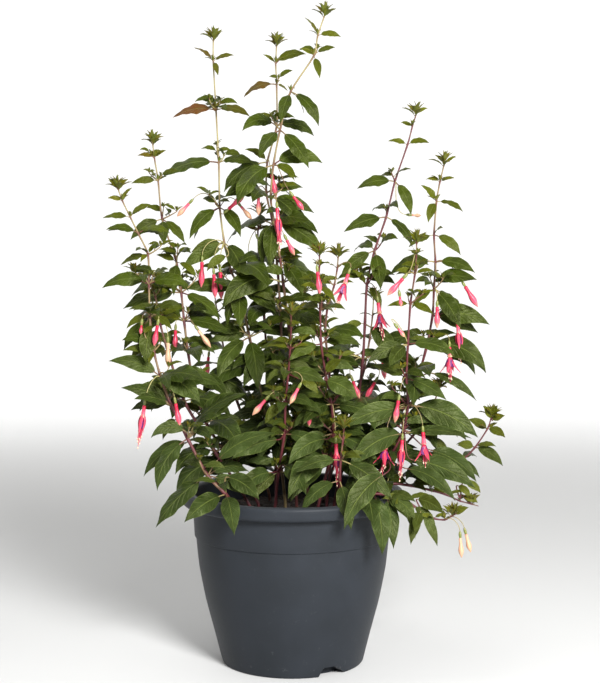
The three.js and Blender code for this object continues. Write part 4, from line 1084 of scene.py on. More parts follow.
def petal_finish(look):
    """The rolled inner petals: violet purple, redder where they start."""
    finish = Finish("fuchsia_petal")
    share, across, _ = finish.attribute("place")
    streaks = finish.noise(300.0, detail=3.0)
    veins = abs((across * 4.0 + streaks).fraction() - 0.5).rising(0.3, 0.5)
    color = finish.mix(share.rising(0.05, 0.45), look.rose, look.purple)
    color = finish.mix(0.3 * veins, color, look.rose)
    return finish.finished(
        Base_Color=color,
        Roughness=0.4 + 0.14 * streaks,
        Normal=finish.bump(streaks + veins, 0.0002, 0.5),
        Subsurface_Weight=0.1,
        Subsurface_Radius=(0.003, 0.001, 0.003),
    )


def filament_finish(look):
    finish = Finish("fuchsia_filament")
    share, _, _ = finish.attribute("place")
    grain = finish.noise(700.0)
    color = finish.mix(share.rising(0.5, 1.0) * 0.5 + 0.2 * grain, look.rose, look.pink)
    return finish.finished(Base_Color=color, Roughness=0.35 + 0.1 * grain)


def anther_finish(look):
    finish = Finish("fuchsia_anther")
    grain = finish.noise(2500.0)
    color = finish.mix(grain, look.anther, look.pink_tip)
    return finish.finished(
        Base_Color=color, Roughness=0.7 + 0.2 * grain, Normal=finish.bump(grain, 0.0002, 0.8)
    )


def pot_finish(look):
    """Moulded slate-grey plastic: fine grain, soft mottling, scuffs near the foot, a painted highlight on
    the lip.
    """
    finish = Finish("slate_plastic")
    grain = finish.noise(2300.0, detail=3.0, roughness=0.6)
    mottle = finish.noise(24.0, detail=3.0)
    scuffs = finish.noise(160.0, detail=5.0, roughness=0.7).rising(0.6, 0.78)
    height = finish.axis(2)
    low = height.rising(0.05, 0.0)
    color = finish.mix(mottle.rising(0.2, 0.8) * 0.3 + 0.3 * grain, look.color, look.sheen)
    # Painted highlight: the lip is lightened towards the pale scuff colour, as where it catches the light.
    color = finish.mix(height.rising(0.178, 0.184) * 0.12, color, look.scuffs_and_lip_highlight)
    color = finish.mix(scuffs * (0.08 + 0.3 * low), color, look.scuffs_and_lip_highlight)
    return finish.finished(
        Base_Color=color,
        Roughness=look.roughness + 0.05 * mottle + 0.12 * scuffs,
        Normal=finish.bump(grain, look.grain, 0.8),
        Specular_IOR_Level=0.12,
    )


def soil_finish(look):
    """Dark damp compost with paler fibres and grit."""
    finish = Finish("compost")
    lumps = finish.noise(240.0, detail=6.0, roughness=0.7)
    grit = finish.cells(420.0).rising(0.3, 0.05)
    fibre = finish.noise(900.0, detail=4.0, roughness=0.8)
    color = finish.mix(lumps.rising(0.3, 0.75), look.dark, look.brown)
    color = finish.mix(fibre.rising(0.62, 0.72) * 0.6, color, look.fibre)
    return finish.finished(
        Base_Color=color,
        Roughness=0.86 + 0.1 * grit,
        Normal=finish.bump(lumps + 0.5 * grit + 0.4 * fibre, 0.002, 1.0),
    )


def shared(name, make, look):
    """A finish that several pieces share, made when it is first asked for."""
    return bpy.data.materials.get(name) or make(look)


FLOWER_FINISHES = {
    "ovary": ovary_finish,
    "bud": bud_finish,
    "sepal": sepal_finish,
    "petal": petal_finish,
    "filament": filament_finish,
    "anther": anther_finish,
}


def flower_finishes(*parts):
    look = bpy.context.scene.fuchsia_flowers
    return [shared(f"fuchsia_{part}", FLOWER_FINISHES[part], look) for part in parts]


# Settings

SHARE = {"min": 0, "subtype": "FACTOR"}


def number_property(title, about, value, **kind):
    return FloatProperty(name=title, description=about, default=value, **kind)


def color_property(title, about, *values):
    return FloatVectorProperty(
        name=title, description=about, default=tone(*values), size=3, min=0, max=1, subtype="COLOR"
    )


class PotSettings(bpy.types.PropertyGroup):
    """Size and finish of the pot."""

    height: number_property("Height", "From the underside to the lip", POT_BOX[1].z, unit="LENGTH")
    lip_radius: number_property("Lip radius", "Outside radius of the lip", 0.116, unit="LENGTH")
    notches: IntProperty(name="Notches", description="Drainage notches in the foot", default=3, min=0)
    color: color_property("Plastic", "The plastic's darker tone", 34, 37, 40)
    sheen: color_property("Pale plastic", "The plastic's paler tone", 48, 52, 59)
    # This colour paints real scuffs, mostly near the foot, and a painted highlight on the lip.
    scuffs_and_lip_highlight: color_property("Dust", "Scuffs, mostly near the foot, and dust on the lip", 120, 122, 122)
    roughness: number_property("Roughness", "How dull the plastic is", 0.42, max=1, **SHARE)
    grain: number_property("Grain", "Depth of the moulded grain", 0.00012, unit="LENGTH")


class SoilSettings(bpy.types.PropertyGroup):
    """Look of the compost."""

    crumbs: IntProperty(name="Crumbs", description="Loose lumps on the top", default=260, min=0)
    dark: color_property("Damp", "Damp compost", 24, 18, 14)
    brown: color_property("Dry", "Dry compost", 62, 46, 34)
    fibre: color_property("Fibre", "Fibres in it", 120, 96, 70)


class LeafSettings(bpy.types.PropertyGroup):
    """Shape, number and colours of the leaves."""

    teeth: number_property("Teeth", "Depth of the teeth, as a share of the half width", 0.065, **SHARE)
    fullness: number_property("Fullness", "How many side shoots grow", 1.0, max=2, **SHARE)
    dark: color_property("Dark green", "Shaded parts of old leaves", 26, 35, 5)
    green: color_property("Green", "Paler parts of old leaves", 50, 62, 6)
    low: color_property("Shaded green", "Leaves low in the bush", 49, 62, 30)
    young: color_property("Young green", "Leaves near the tips", 106, 106, 12)
    bronze: color_property("Bronze", "Leaves that are flushed bronze", 90, 46, 16)
    vein: color_property("Veins", "Veins and margins", 108, 120, 56)
    underside: color_property("Underside", "Undersides", 92, 110, 56)


class StemSettings(bpy.types.PropertyGroup):
    """Colours of the stems."""

    green: color_property("Green bark", "Young bark", 160, 152, 96)
    red: color_property("Red bark", "Flushed bark", 82, 26, 31)
    streak: color_property("Streaks", "Fine streaks", 96, 66, 50)


class FlowerSettings(bpy.types.PropertyGroup):
    """Colours of the flowers."""

    rose: color_property("Rose", "Tubes and the upper part of buds", 180, 18, 56)
    pink: color_property("Pink", "The lower part of buds", 208, 84, 106)
    pink_tip: color_property("Pale tip", "Tips of buds", 205, 160, 128)
    purple: color_property("Purple", "Inner petals", 84, 16, 92)
    ovary: color_property("Ovary", "Ovaries above the tubes", 92, 110, 36)
    anther: color_property("Anthers", "Tips of the stamens", 226, 206, 186)


class StudioSettings(bpy.types.PropertyGroup):
    """Light, floor and camera."""

    daylight: number_property("Daylight", "Even light from all round", 0.08, **SHARE)
    key: number_property("Key light", "Light above the camera", 74.0, unit="POWER")
    top: number_property("Top light", "Light over the plant", 12.0, unit="POWER")
    fill: number_property("Fill light", "Light from the left", 0.4, unit="POWER")
    floor: color_property("Floor", "The floor's colour", 206, 206, 205)
    glow: number_property("Backdrop glow", "Brightens the backdrop", 0.55, **SHARE)
    distance: number_property("Camera distance", "From the pot's middle", 1.437, unit="LENGTH")
    camera_height: number_property("Camera height", "Above the floor", 0.425, unit="LENGTH")


# Where the solids are

def cad_corners():
    """All the solids' corners in millimetres in a search tree, and the node that each belongs to."""
    corners, owners = [], []
    for name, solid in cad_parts.items():
        for vertex in solid.data.vertices:
            corners.append(vertex.co / MM)
            owners.append(name)
    tree = KDTree(len(corners))
    for i, corner in enumerate(corners):
        tree.insert(corner, i)
    tree.balance()
    return tree, owners


CORNER_TREE, CORNER_OWNERS = cad_corners()


def solid_with_corner(point):
    """The name of the node that has a corner at a point, if any."""
    _, index, distance = CORNER_TREE.find(point)
    return CORNER_OWNERS[index] if distance < TIP_MATCH else None


# Stems and the plans of their leaves

def grow_rod(surface, stem):
    """The stem itself, a smooth rod with a slight swelling at each joint."""
    x, y = stem.foot
    joints = stem.points()
    foot = [Vector((x, y, SOIL_LEVEL - STEM_BURIED)), Vector((x, y, SOIL_LEVEL + 8))]
    last = (joints[-1] - joints[-2]).normalized()
    points = [*foot, *joints, joints[-1] + last * COLLAR_END]
    steps = 5
    path = smooth_path(points, steps)
    radii, places = [], []
    for i in range(len(path)):
        joint = i / steps - 2
        radius = stem.radius_at(max(joint, 0)) if joint < len(joints) else 0.4
        near_joint = abs(joint - round(joint)) * steps
        share = i / (len(path) - 1)
        red = stem.red * lerp(1.6, 0.7, share)
        if joint >= 0 and near_joint < 1.5:
            radius *= 1.34 - 0.18 * near_joint
            red += 0.3 - 0.2 * near_joint
        radii.append(radius)
        places.append((share, 0, red))
    radii[-1] = 0.3
    tube(surface, path, radii, 8, BARK, places)
    return joints


def leaf_plans(stem, index):
    """The leaves of a stem as the solids were laid out, joint by joint."""
    draw = seeded_draws(PLAN_SEED + PLAN_SEED_STEP * index)
    joints = stem.joints
    last = len(joints) - 1
    for i, (x, z) in enumerate(joints):
        young = i == last
        from_tip = math.hypot(joints[-1][0] - x, joints[-1][1] - z)
        grown = LONGEST_LEAF * (1 - math.exp(-from_tip / LEAF_GROWTH_REACH))
        notable = stem.notable.get(i, [])
        count = TUFT_LEAVES if young else max(stem.whorl, len(notable))
        for k in range(count):
            swing = 30 * (next(draw) - 0.5)
            growth = 0.84 + 0.3 * next(draw)
            droop = next(draw) - 0.5
            twist = 34 * (next(draw) - 0.5)
            slimness = 0.42 + 0.1 * next(draw)
            wave = 0.1 + 0.12 * next(draw)
            if k < len(notable):
                across, nearer, above = notable[k]
                reach = math.hypot(across, nearer)
                slope = math.degrees(math.atan2(above, reach))
                bend = NOTABLE_BEND + 16 * droop
                azimuth = math.degrees(math.atan2(-nearer, across))
                length = math.hypot(reach, above) * math.radians(bend) / math.sin(math.radians(bend))
                rise, fall = slope + bend, bend - slope
            elif young:
                azimuth = stem.turn + 360 * k / count + swing
                length, rise, fall = SHORTEST_LEAF, 62 + 12 * droop, 34 * droop - 30
            else:
                half_step = 0.5 * (i % 2)
                azimuth = stem.turn + 360 * (k / count + half_step / stem.whorl) + swing
                length = max(grown * growth, SHORTEST_LEAF * 1.1)
                age = min(grown * growth / LONGEST_LEAF, 1)
                rise, fall = lerp(42, 26, age) + 12 * droop, lerp(4, 70, age) + 34 * droop
            age = min(length / LONGEST_LEAF, 1)
            yield {
                "joint": i, "azimuth": azimuth, "length": length, "rise": rise, "fall": fall,
                "roll": twist + facing_roll(stem.depth_at(i), azimuth),
                "slimness": slimness * lerp(0.82, 1, age), "fold": lerp(0.3, -0.14, age), "wave": wave,
            }


def facing_roll(depth, azimuth):
    """The roll that turns a leaf at a depth and direction towards the nearer side of the plant."""
    facing = FACING_ROLL if depth < BACK_DEPTH else -FACING_ROLL
    return facing * math.cos(math.radians(azimuth))


def age_of(blade, youngest, grown_length):
    """How old a leaf looks, from 0 to 1, by its length."""
    return min(youngest + blade.length / grown_length, 1)


def leaf_size(length):
    return next(size for size, least in LEAST_LENGTHS.items() if length >= least)


def broadness(height):
    """Leaves low on the plant are narrower for their length than those near its top."""
    return lerp(0.7, 0.76, min(max((height - 200) / 260, 0), 1))


def leaf_blade(root, plan, turn=0, lift=0, scale=1):
    """The blade of a planned leaf, or of that leaf turned, lifted or made smaller."""
    azimuth = math.radians(plan["azimuth"] + turn)
    length = plan["length"] * scale
    return Blade(
        root=root,
        out=Vector((math.cos(azimuth), math.sin(azimuth), 0)),
        up=UP,
        rise=plan["rise"] + lift,
        fall=plan["fall"] - lift,
        roll=plan["roll"],
        length=length,
        width=length * (1 - PETIOLE_SHARE) * plan["slimness"] * broadness(root.z),
        stalk=PETIOLE_SHARE,
        fold=plan["fold"],
        wave=plan["wave"],
        crests=BLADE_WAVES[leaf_size(plan["length"])],
    )


def show_face(blade, most):
    """Rolls a blade by up to `most` degrees towards the side that shows its upper face to the front."""
    roll = blade.roll
    blade.roll = 0
    _, _, flat, side = blade.at(0.5)
    front = Vector((0, -1, 0.2))
    shown = math.degrees(math.atan2(side.dot(front), flat.dot(front)))
    apart = (shown - roll + 180) % 360 - 180
    blade.roll = roll + min(max(apart, -most), most)
    return blade


def settled_leaf(stem, root, plan):
    """The blade of a leaf where its solid is, or None, and whether it is about where it was planned."""
    for number, attempt in enumerate(LEAF_TRIES):
        blade = leaf_blade(root, plan, *attempt)
        if solid_with_corner(blade.at(1)[0]) == f"stem_{stem.name}":
            return blade, number < TRIES_IN_PLACE
    return None, False


def loose_blade(start, tip, width, chance):
    """A blade from its start to its tip, with its stalk before it."""
    chord = tip - start
    reach = math.hypot(chord.x, chord.y)
    slope = math.degrees(math.atan2(chord.z, reach))
    bend = LOOSE_BEND + chance.uniform(-5, 8)
    length = chord.length * math.radians(bend) / math.sin(math.radians(bend))
    blade = Blade(
        root=start, out=Vector((chord.x / reach, chord.y / reach, 0)), up=UP, rise=slope + bend,
        fall=bend - slope, length=length, width=width, stalk=0.02, fold=-0.06,
        wave=chance.uniform(0.1, 0.2), crests=BLADE_WAVES[leaf_size(length)],
    )
    show_face(blade, 180)
    blade.roll += chance.uniform(-18, 18)
    return blade


class Crowd:
    """The space that blades take up, so that added ones keep out of it."""

    CELL = 3.0

    def __init__(self):
        self.cells = set()
        low, high = CAD_BOX
        self.low = Vector(low) / MM
        self.high = Vector(high) / MM
        self.lip = POT_BOX[1].z / MM

    def samples(self, blade):
        rows = max(3, round(blade.length / self.CELL))
        for i in range(1, rows + 1):
            t = i / rows
            centre, _, normal, side = blade.at(blade.stalk + t * (1 - blade.stalk))
            half = blade.width / 2 * blade_outline(t)
            columns = max(1, round(half / self.CELL))
            for j in range(-columns, columns + 1):
                u = j / columns
                yield along(centre, side, u * half, normal, blade.fold * abs(u) * half)

    def cell(self, point):
        return tuple(math.floor(value / self.CELL) for value in point)

    def add(self, blade):
        self.cells.update(self.cell(point) for point in self.samples(blade))

    def keep_open(self, point):
        """Keeps added leaves out of a place and of the view of it from the front."""
        for step in range(0, VIEW_REACH, 3):
            for across in (-4, 0, 4):
                self.cells.add(self.cell(point + Vector((across, -step, 0))))

    def has_room(self, blade, clear):
        """True where a blade is in the solids' box, off the pot and far enough from other blades."""
        total = free = 0
        for point in self.samples(blade):
            if any(not low < value < high for value, low, high in zip(point, self.low, self.high)):
                return False
            if point.z < self.lip + POT_CLEAR_HEIGHT and math.hypot(point.x, point.y) < POT_CLEAR_RADIUS:
                return False
            total += 1
            free += self.cell(point) not in self.cells
        return free >= clear * total


def grow_leaf(surface, blade, tint, age, bronze):
    size = leaf_size(blade.length / 0.95)
    settings = bpy.context.scene.fuchsia_leaves
    trait = (age, bronze, 0)
    grow_blade(surface, blade, BLADE_DETAIL[size], LEAF, tint, trait, settings.teeth)
    radius = lerp(0.4, 0.95, min(blade.length / LONGEST_LEAF, 1))
    grow_stalk(surface, blade, radius, 0.3 + 0.5 * tint, trait, rib=size.startswith("large"))


# How densely side shoots grow: places (x, z) in the view from the front, with their reach and strength.
THICKETS = [
    (-125, 380, 50, 0.8), (-50, 300, 70, 0.7), (0, 230, 80, 1.0), (60, 240, 60, 0.7), (-30, 370, 50, 0.5),
    (120, 250, 50, 0.6), (85, 390, 30, 0.5), (-20, 500, 50, 0.3),
]


def thickness_at(point):
    """How dense the side shoots are at a place, about 1 in the middle of the bush."""
    total = 0.22
    for x, z, reach, strength in THICKETS:
        apart = math.hypot(point.x - x, point.z - z)
        total += strength * math.exp(-((apart / reach) ** 2))
    return total


def placed_leaf(centre, azimuth, length, joint, crowd, chance):
    """A leaf near the wanted direction where it has room, or None after a few tries."""
    age = min(length / LONGEST_LEAF, 1)
    for _ in range(PLACING_TRIES):
        turn = azimuth + chance.uniform(-28, 28)
        plan = {
            "azimuth": turn,
            "length": length * chance.uniform(0.8, 1.12),
            "rise": lerp(58, 22, age) + chance.uniform(-16, 16),
            "fall": lerp(0, 66, age) + chance.uniform(-18, 22),
            "roll": chance.uniform(-22, 22) + facing_roll(joint.y, turn),
            "slimness": chance.uniform(0.4, 0.5) * lerp(0.85, 1, age),
            "fold": lerp(0.3, -0.12, age),
            "wave": chance.uniform(0.1, 0.22),
        }
        blade = show_face(leaf_blade(centre, plan), SHOOT_TURN if joint.y < BACK_DEPTH else 0)
        if crowd.has_room(blade, LEAF_ROOM):
            crowd.add(blade)
            return blade
    return None


def grow_shoot(surface, joint, azimuth, length, largest, crowd, chance, red):
    """A side shoot from a leaf's axil, with pairs of leaves that get smaller towards its tip."""
    heading = math.radians(azimuth)
    out = Vector((math.cos(heading), math.sin(heading), 0))
    line = Blade(joint, out, UP, chance.uniform(20, 52), chance.uniform(-70, -30), length)
    pairs = 1 + int(length / 11)
    grown = []
    for pair in range(1, pairs + 1):
        share = pair / pairs
        turn = azimuth + (90 if (pairs - pair) % 2 else 25)
        centre = line.at(share)[0]
        for k in range(2):
            wanted = max(8.0, largest * lerp(1, 0.45, share if pairs > 1 else 0.3))
            blade = placed_leaf(centre, turn + 180 * k, wanted, joint, crowd, chance)
            if blade:
                grown.append((blade, share))
    if not grown:
        return
    farthest = max(share for _, share in grown)
    twig(surface, [line.at(farthest * k / 5)[0] for k in range(6)], 0.95, 0.5, BARK, red)
    for blade, _ in grown:
        grow_leaf(surface, blade, chance.random(), age_of(blade, 0.3, 50), 0)
    if farthest == 1:
        tip, axis = line.at(1)[:2]
        grow_tuft(surface, tip, axis, 4, lerp(5, 11, min(largest / 50, 1)), chance)


def grow_tuft(surface, centre, axis, count, length, chance, bronze=0.25, spread=0):
    """Small folded leaves that crowd round a growing tip."""
    for k in range(count):
        inner = 1 - k / count
        plan = {
            "azimuth": TUFT_TURN * k + chance.uniform(-20, 20),
            "length": length * lerp(1.25, 0.7, inner),
            "rise": lerp(54, 84, inner) + chance.uniform(-12, 8),
            "fall": lerp(14, -78, inner) + chance.uniform(-10, 20),
            "roll": chance.uniform(-20, 20),
            "slimness": chance.uniform(0.36, 0.48),
            "fold": 0.4,
            "wave": 0.1,
        }
        blade = leaf_blade(along(centre, axis, spread * (inner - 1)), plan)
        grow_leaf(surface, blade, chance.random(), 0.12, bronze * chance.uniform(0.4, 1.6))


# Flowers

def hung_flowers():
    """Each flower that the solids have: its plan, number, joint, top, axis and its own nodes."""
    hung = []
    separate = 0
    for number, flower in enumerate(FLOWERS):
        joint = STEM_BY_NAME[flower.stem].points()[flower.joint]
        axis = flower.axis
        side = -1 if flower.near < 0 else 1
        for shift in FLOWER_SHIFTS:
            depth = joint.y - flower.near - side * shift
            top = Vector((flower.at[0], depth, flower.at[1]))
            node = solid_with_corner(along(top, axis, flower.reach))
            if node:
                nodes = []
                if flower.kind != "fused":
                    separate += 1
                    nodes = [f"bloom_{separate:02d}", node]
                hung.append((flower, number, joint, top, axis, nodes))
                break
        else:
            raise RuntimeError(f"No solid was found for flower {number} on {flower.stem}")
    return hung


def bud_profile(length, widest):
    """Pairs of distance and radius of a closed bud: a slim tube, then the folded sepals to a point."""
    shares = [
        (0, 0.5), (0.05, 0.6), (0.14, 0.54), (0.26, 0.54), (0.36, 0.64), (0.46, 0.8), (0.55, 0.92),
        (0.62, 0.95), (0.7, 0.9), (0.78, 0.76), (0.86, 0.54), (0.93, 0.3), (0.98, 0.12), (1, 0.04),
    ]
    return [(share * length, radius * widest) for share, radius in shares]


def grow_pedicel(surface, joint, top, axis):
    """The thin arching stalk and the ovary that a flower hangs from."""
    end = along(top, axis, -OVARY_LENGTH - SEAT_GAP)
    span = (end - joint).length
    arch = joint.lerp(end, 0.35) + UP * (4 + 0.3 * span)
    path = bezier(joint, arch, along(end, axis, -0.45 * span), end, 14)
    twig(surface, path, 0.55, 0.36, BARK, 0.4 + 0.2 * math.sin(top.x))
    profile = [(0, 0.5), (0.8, 1.0), (2.2, 1.45), (4, 1.55), (5.4, 1.35), (6.4, 1.2), (6.7, 1.05)]
    turned(surface, end, axis, profile, 10, OVARY)


def grow_sheet(surface, rows, columns, thick, shape, finish, tint):
    """A thin closed sheet. `shape` gives its point and outward direction from 0 to 1 each way."""
    outer, inner = [], []
    for i in range(rows + 1):
        top, low = [], []
        for j in range(columns + 1):
            point, outward = shape(i / rows, j / columns)
            place = (i / rows, 2 * j / columns - 1, tint)
            if i in (0, rows) or j in (0, columns):
                corner = surface.corner(point, place)
                top.append(corner)
                low.append(corner)
            else:
                top.append(surface.corner(point + outward * thick / 2, place))
                low.append(surface.corner(point - outward * thick / 2, place, (1, 0, 1)))
        outer.append(top)
        inner.append(low)
    for here, ahead in zip(outer, outer[1:]):
        surface.strip(here, ahead, finish, closed=False)
    for here, ahead in zip(inner, inner[1:]):
        surface.strip(ahead, here, finish, closed=False)


def hung_sheet(start, axis, spin, spread, reach, radius):
    """The shape of a petal or sepal that hangs round an axis, for `grow_sheet`."""

    def shape(s, v):
        outward = beside(axis, math.radians(spin + spread(s) * (v - 0.5)))
        return along(start, axis, reach(s, v), outward, radius(s, v)), outward

    return shape


def grow_petals(surface, start, axis, turn, length, widest, petal, tint):
    """Four rolled petals that overlap round an axis."""
    for k in range(4):
        shape = hung_sheet(
            start, axis, turn + 90 * k,
            spread=lambda s: lerp(80, 136, min(1, 2 * s)),
            reach=lambda s, v, k=k: s * length * (1 - 0.2 * (2 * v - 1) ** 2 + 0.035 * math.sin(17 * v + k)),
            radius=lambda s, v: lerp(1.0, widest, s ** 0.6) * (0.86 + 0.26 * v) + 0.2 * s * math.sin(14 * v),
        )
        grow_sheet(surface, 8, 10, 0.3, shape, petal, tint)


def grow_stamens(surface, start, axis, reach, filament, anther, chance):
    """Eight stamens of different lengths in a bundle round a longer style."""
    knob = [(-1.2, 0.1), (-0.8, 0.55), (0, 0.75), (0.8, 0.6), (1.2, 0.1)]
    for k in range(9):
        style = k == 8
        out = beside(axis, math.radians(45 * k + chance.uniform(-14, 14)))
        length = reach if style else reach * chance.uniform(0.6, 0.88)
        splay = 0.2 if style else chance.uniform(0.9, 2.1)
        end = along(start, axis, length - 1.2, out, splay * 1.2)
        path = bezier(
            along(start, out, 0.5), along(start, axis, length * 0.35, out, 1.1),
            along(start, axis, length * 0.7, out, splay), end, 8,
        )
        twig(surface, path, 0.45, 0.28, filament)
        turned(surface, end, axis, knob, 6, anther)


def grow_bud(surface, top, axis, length, widest, bud, tint):
    turned(surface, top, axis, bud_profile(length, widest), 16, bud, tint, lobes=0.07)


def grow_split(surface, flower, top, axis, chance):
    """A flower whose sepals have just parted, with its petals and stamens showing."""
    length = flower.length
    profile = [(0, 1.6), (1, 1.9), (length * 0.16, 1.8), (length * 0.32, 2.0), (length * 0.42, 2.6)]
    tint = chance.random() * 0.4
    turned(surface, top, axis, profile, 16, BUD, tint)
    for k in range(4):
        flare = chance.uniform(0.2, 1.5)
        shape = hung_sheet(
            along(top, axis, length * 0.36), axis, 90 * k + 20,
            spread=lambda s: 96 * (1 - s) ** 0.55 * (0.6 + 0.5 * s) + 3,
            reach=lambda s, v: s * length * 0.64 * (1 - 0.03 * (2 * v - 1) ** 2),
            radius=lambda s, v, flare=flare: 2.0 + 1.5 * math.sin(math.pi * min(1, 1.25 * s) ** 0.9)
            + flare * s * s + 0.2 * math.cos(math.pi * (v - 0.5)),
        )
        grow_sheet(surface, 12, 8, 0.5, shape, SEPAL, tint)
    grow_petals(surface, along(top, axis, length * 0.4), axis, 30, length * 0.42, 2.5, PETAL, tint)
    middle = along(top, axis, length * 0.5)
    grow_stamens(surface, middle, axis, length * 0.5 + SPLIT_REACH, FILAMENT, ANTHER, chance)


def grow_open_tube(surface, flower, number, top, axis, chance):
    """An open flower's tube with its four sepals spread round it."""
    tint = chance.random() * 0.4
    length = flower.length
    profile = [
        (0, 1.55), (0.8, 1.9), (length * 0.3, 1.8), (length * 0.7, 2.1), (length, 2.75),
        (length + 0.5, 2.3),
    ]
    turned(surface, top, axis, profile, 16, BUD, tint)
    for k in range(4):
        out = beside(axis, math.radians(OPEN_TURN * number + 90 * k))
        blade = Blade(
            root=along(top, axis, length - 1.4, out, 0.5), out=out, up=axis, rise=70, fall=-48, length=21.5,
            width=4.8, stalk=0.06, fold=0.35, wave=0.05, crests=(0.3, 0.9),
        )
        grow_blade(surface, blade, (16, (-1, -0.6, -0.25, 0, 0.25, 0.6, 1), 0.4), SEPAL, tint, (1, 0, 0))


# Pot and soil

def pot_profile(lip, height):
    """Half section of the pot in millimetres: underside, wall, band, lip and inside."""
    wall_marks = [(FOOT_RADIUS, 3), (82, 31), (91.2, 66), (98, 101), (101.2, 131.5)]
    wall = smooth_path([Vector(mark) for mark in wall_marks], 7)
    lip_bottom = height - LIP_DEPTH
    return [
        (10, 0.5), (18, 0), (20, 0), (21.2, 0.8), (22, 3), (40, 3), (59.6, 3), (60.4, 2.4),
        (61.2, 0.5), (62, 0), (63, 0), (63.05, 0), (68, 0), (72.6, 0), (74, 0.6), (74.7, 1.7),
        *[tuple(point) for point in wall],
        (101.35, 132.6), (101.9, 133), (102.6, 133.3), (102.85, 134), (103.6, 148),
        (104.5, lip_bottom - 2.4), (105, lip_bottom - 0.6), (106.6, lip_bottom + 0.3),
        (lip - 4.6, lip_bottom + 1), (lip - 2.4, lip_bottom + 1.7), (lip - 1, lip_bottom + 3),
        (lip - 0.5, lip_bottom + 5), (lip - 0.15, height - 6),
        (lip, height - 3.2), (lip - 0.2, height - 1.8), (lip - 0.9, height - 0.6), (lip - 2.2, height),
        (lip - 6, height), (lip - 9, height), (lip - 10.2, height - 0.5), (lip - 11, height - 1.6),
        (lip - 11.3, height - 3.5), (103.4, height - 14), (98.4, 133), (88.2, 66), (74.5, 17), (56, 17),
        (54, 6), (20, 6),
    ]


def notch_height(reach):
    """Height of a drainage notch at a distance from its middle: steep on one side, sloping on the other."""
    if abs(reach) > NOTCH_REACH:
        return 0
    steep = min((reach + NOTCH_REACH) / NOTCH_STEEP_REACH, 1)
    sloping = min((NOTCH_REACH - reach) / NOTCH_REACH, 1)
    return NOTCH_HEIGHT * min(steep * (2 - steep), sloping ** 0.9)


def pot_angles(notches):
    """Angles of the pot's columns: an even row, with more of them across each notch."""
    angles = {round(2 * math.pi * k / POT_COLUMNS, 4) for k in range(POT_COLUMNS)}
    middles = [math.radians(FIRST_NOTCH_TURN + 360 * k / max(notches, 1)) for k in range(notches)]
    for middle in middles:
        for step in range(-int(NOTCH_REACH) - 1, int(NOTCH_REACH) + 2):
            angles.add(round((middle + step / FOOT_RADIUS) % (2 * math.pi), 4))
    ordered = sorted(angles)
    kept = [ordered[0]]
    for angle in ordered[1:]:
        if angle - kept[-1] > NARROWEST_COLUMN:
            kept.append(angle)
    return kept, middles


class FUCHSIA_OT_make_pot(bpy.types.Operator):
    """Makes the dark plastic pot with its band, lip and drainage notches"""

    bl_idname = "fuchsia.make_pot"
    bl_label = "Make the pot"

    def execute(self, context):
        look = context.scene.fuchsia_pot
        surface = Surface()
        angles, middles = pot_angles(look.notches)
        rings = []
        for radius, height in pot_profile(look.lip_radius / MM, look.height / MM):
            ring = []
            on_foot = FOOT_INSIDE < radius < FOOT_OUTSIDE and height < NOTCH_HEIGHT + 1
            for angle in angles:
                turns = [(angle - middle + math.pi) % (2 * math.pi) - math.pi for middle in middles]
                notched = [notch_height(turn * FOOT_RADIUS) for turn in turns if on_foot]
                level = max([height, *notched])
                point = Vector((radius * math.cos(angle), radius * math.sin(angle), level))
                ring.append(surface.corner(point))
            rings.append(ring)
        ends = [surface.corner(Vector((0, 0, level))) for level in (0.8, 6)]
        surface.skin(rings, *ends, 0)
        surface.build("pot_body", [shared("slate_plastic", pot_finish, look)], "pot", 40, "pot")
        return {"FINISHED"}


def soil_top(x, y):
    """Height of the compost's lumpy top."""
    lumps = math.sin(x * 0.11 + 1.3) * math.cos(y * 0.13) + 0.6 * math.sin(x * 0.05 - y * 0.17)
    fine = noise.fractal(Vector((x, y, 7)) * 0.11, 0.9, 2.1, 5)
    return SOIL_LEVEL + 2.2 * lumps + 1.5 * fine


class FUCHSIA_OT_fill_soil(bpy.types.Operator):
    """Fills the pot with compost that has a lumpy, crumbly top"""

    bl_idname = "fuchsia.fill_soil"
    bl_label = "Fill the pot with compost"

    def execute(self, context):
        look = context.scene.fuchsia_soil
        chance = random.Random(CRUMB_SEED)
        surface = Surface()
        rings = [self.ring(surface, radius, height) for radius, height in SOIL_SIDE]
        rings += [self.ring(surface, radius) for radius in (98.4, 95, *range(92, 3, -3))]
        ends = [surface.corner(Vector((0, 0, level))) for level in (SOIL_SIDE[0][1], soil_top(0, 0))]
        surface.skin(rings, *ends, 0)
        for _ in range(look.crumbs):
            reach = 94 * math.sqrt(chance.random())
            turn = chance.uniform(0, 2 * math.pi)
            x, y = reach * math.cos(turn), reach * math.sin(turn)
            self.crumb(surface, Vector((x, y, soil_top(x, y))), chance.uniform(0.8, 3.2), chance)
        surface.build("soil_body", [shared("compost", soil_finish, look)], "soil", 180, "soil")
        return {"FINISHED"}

    @staticmethod
    def ring(surface, radius, height=None):
        """A ring of corners at a height, or else on the compost's top."""
        corners = []
        for x, y in circle(radius, SOIL_COLUMNS):
            level = soil_top(x, y) if height is None else height
            corners.append(surface.corner(Vector((x, y, level))))
        return corners

    @staticmethod
    def crumb(surface, centre, size, chance):
        profile = [(-0.9, 0.3), (-0.55, 0.8), (0, 1), (0.55, 0.8), (0.9, 0.3)]
        axis = Vector((chance.uniform(-1, 1), chance.uniform(-1, 1), 0.7)).normalized()
        rough = [
            (distance * size, radius * size * chance.uniform(0.75, 1.2)) for distance, radius in profile
        ]
        turned(surface, centre, axis, rough, 7, 0)


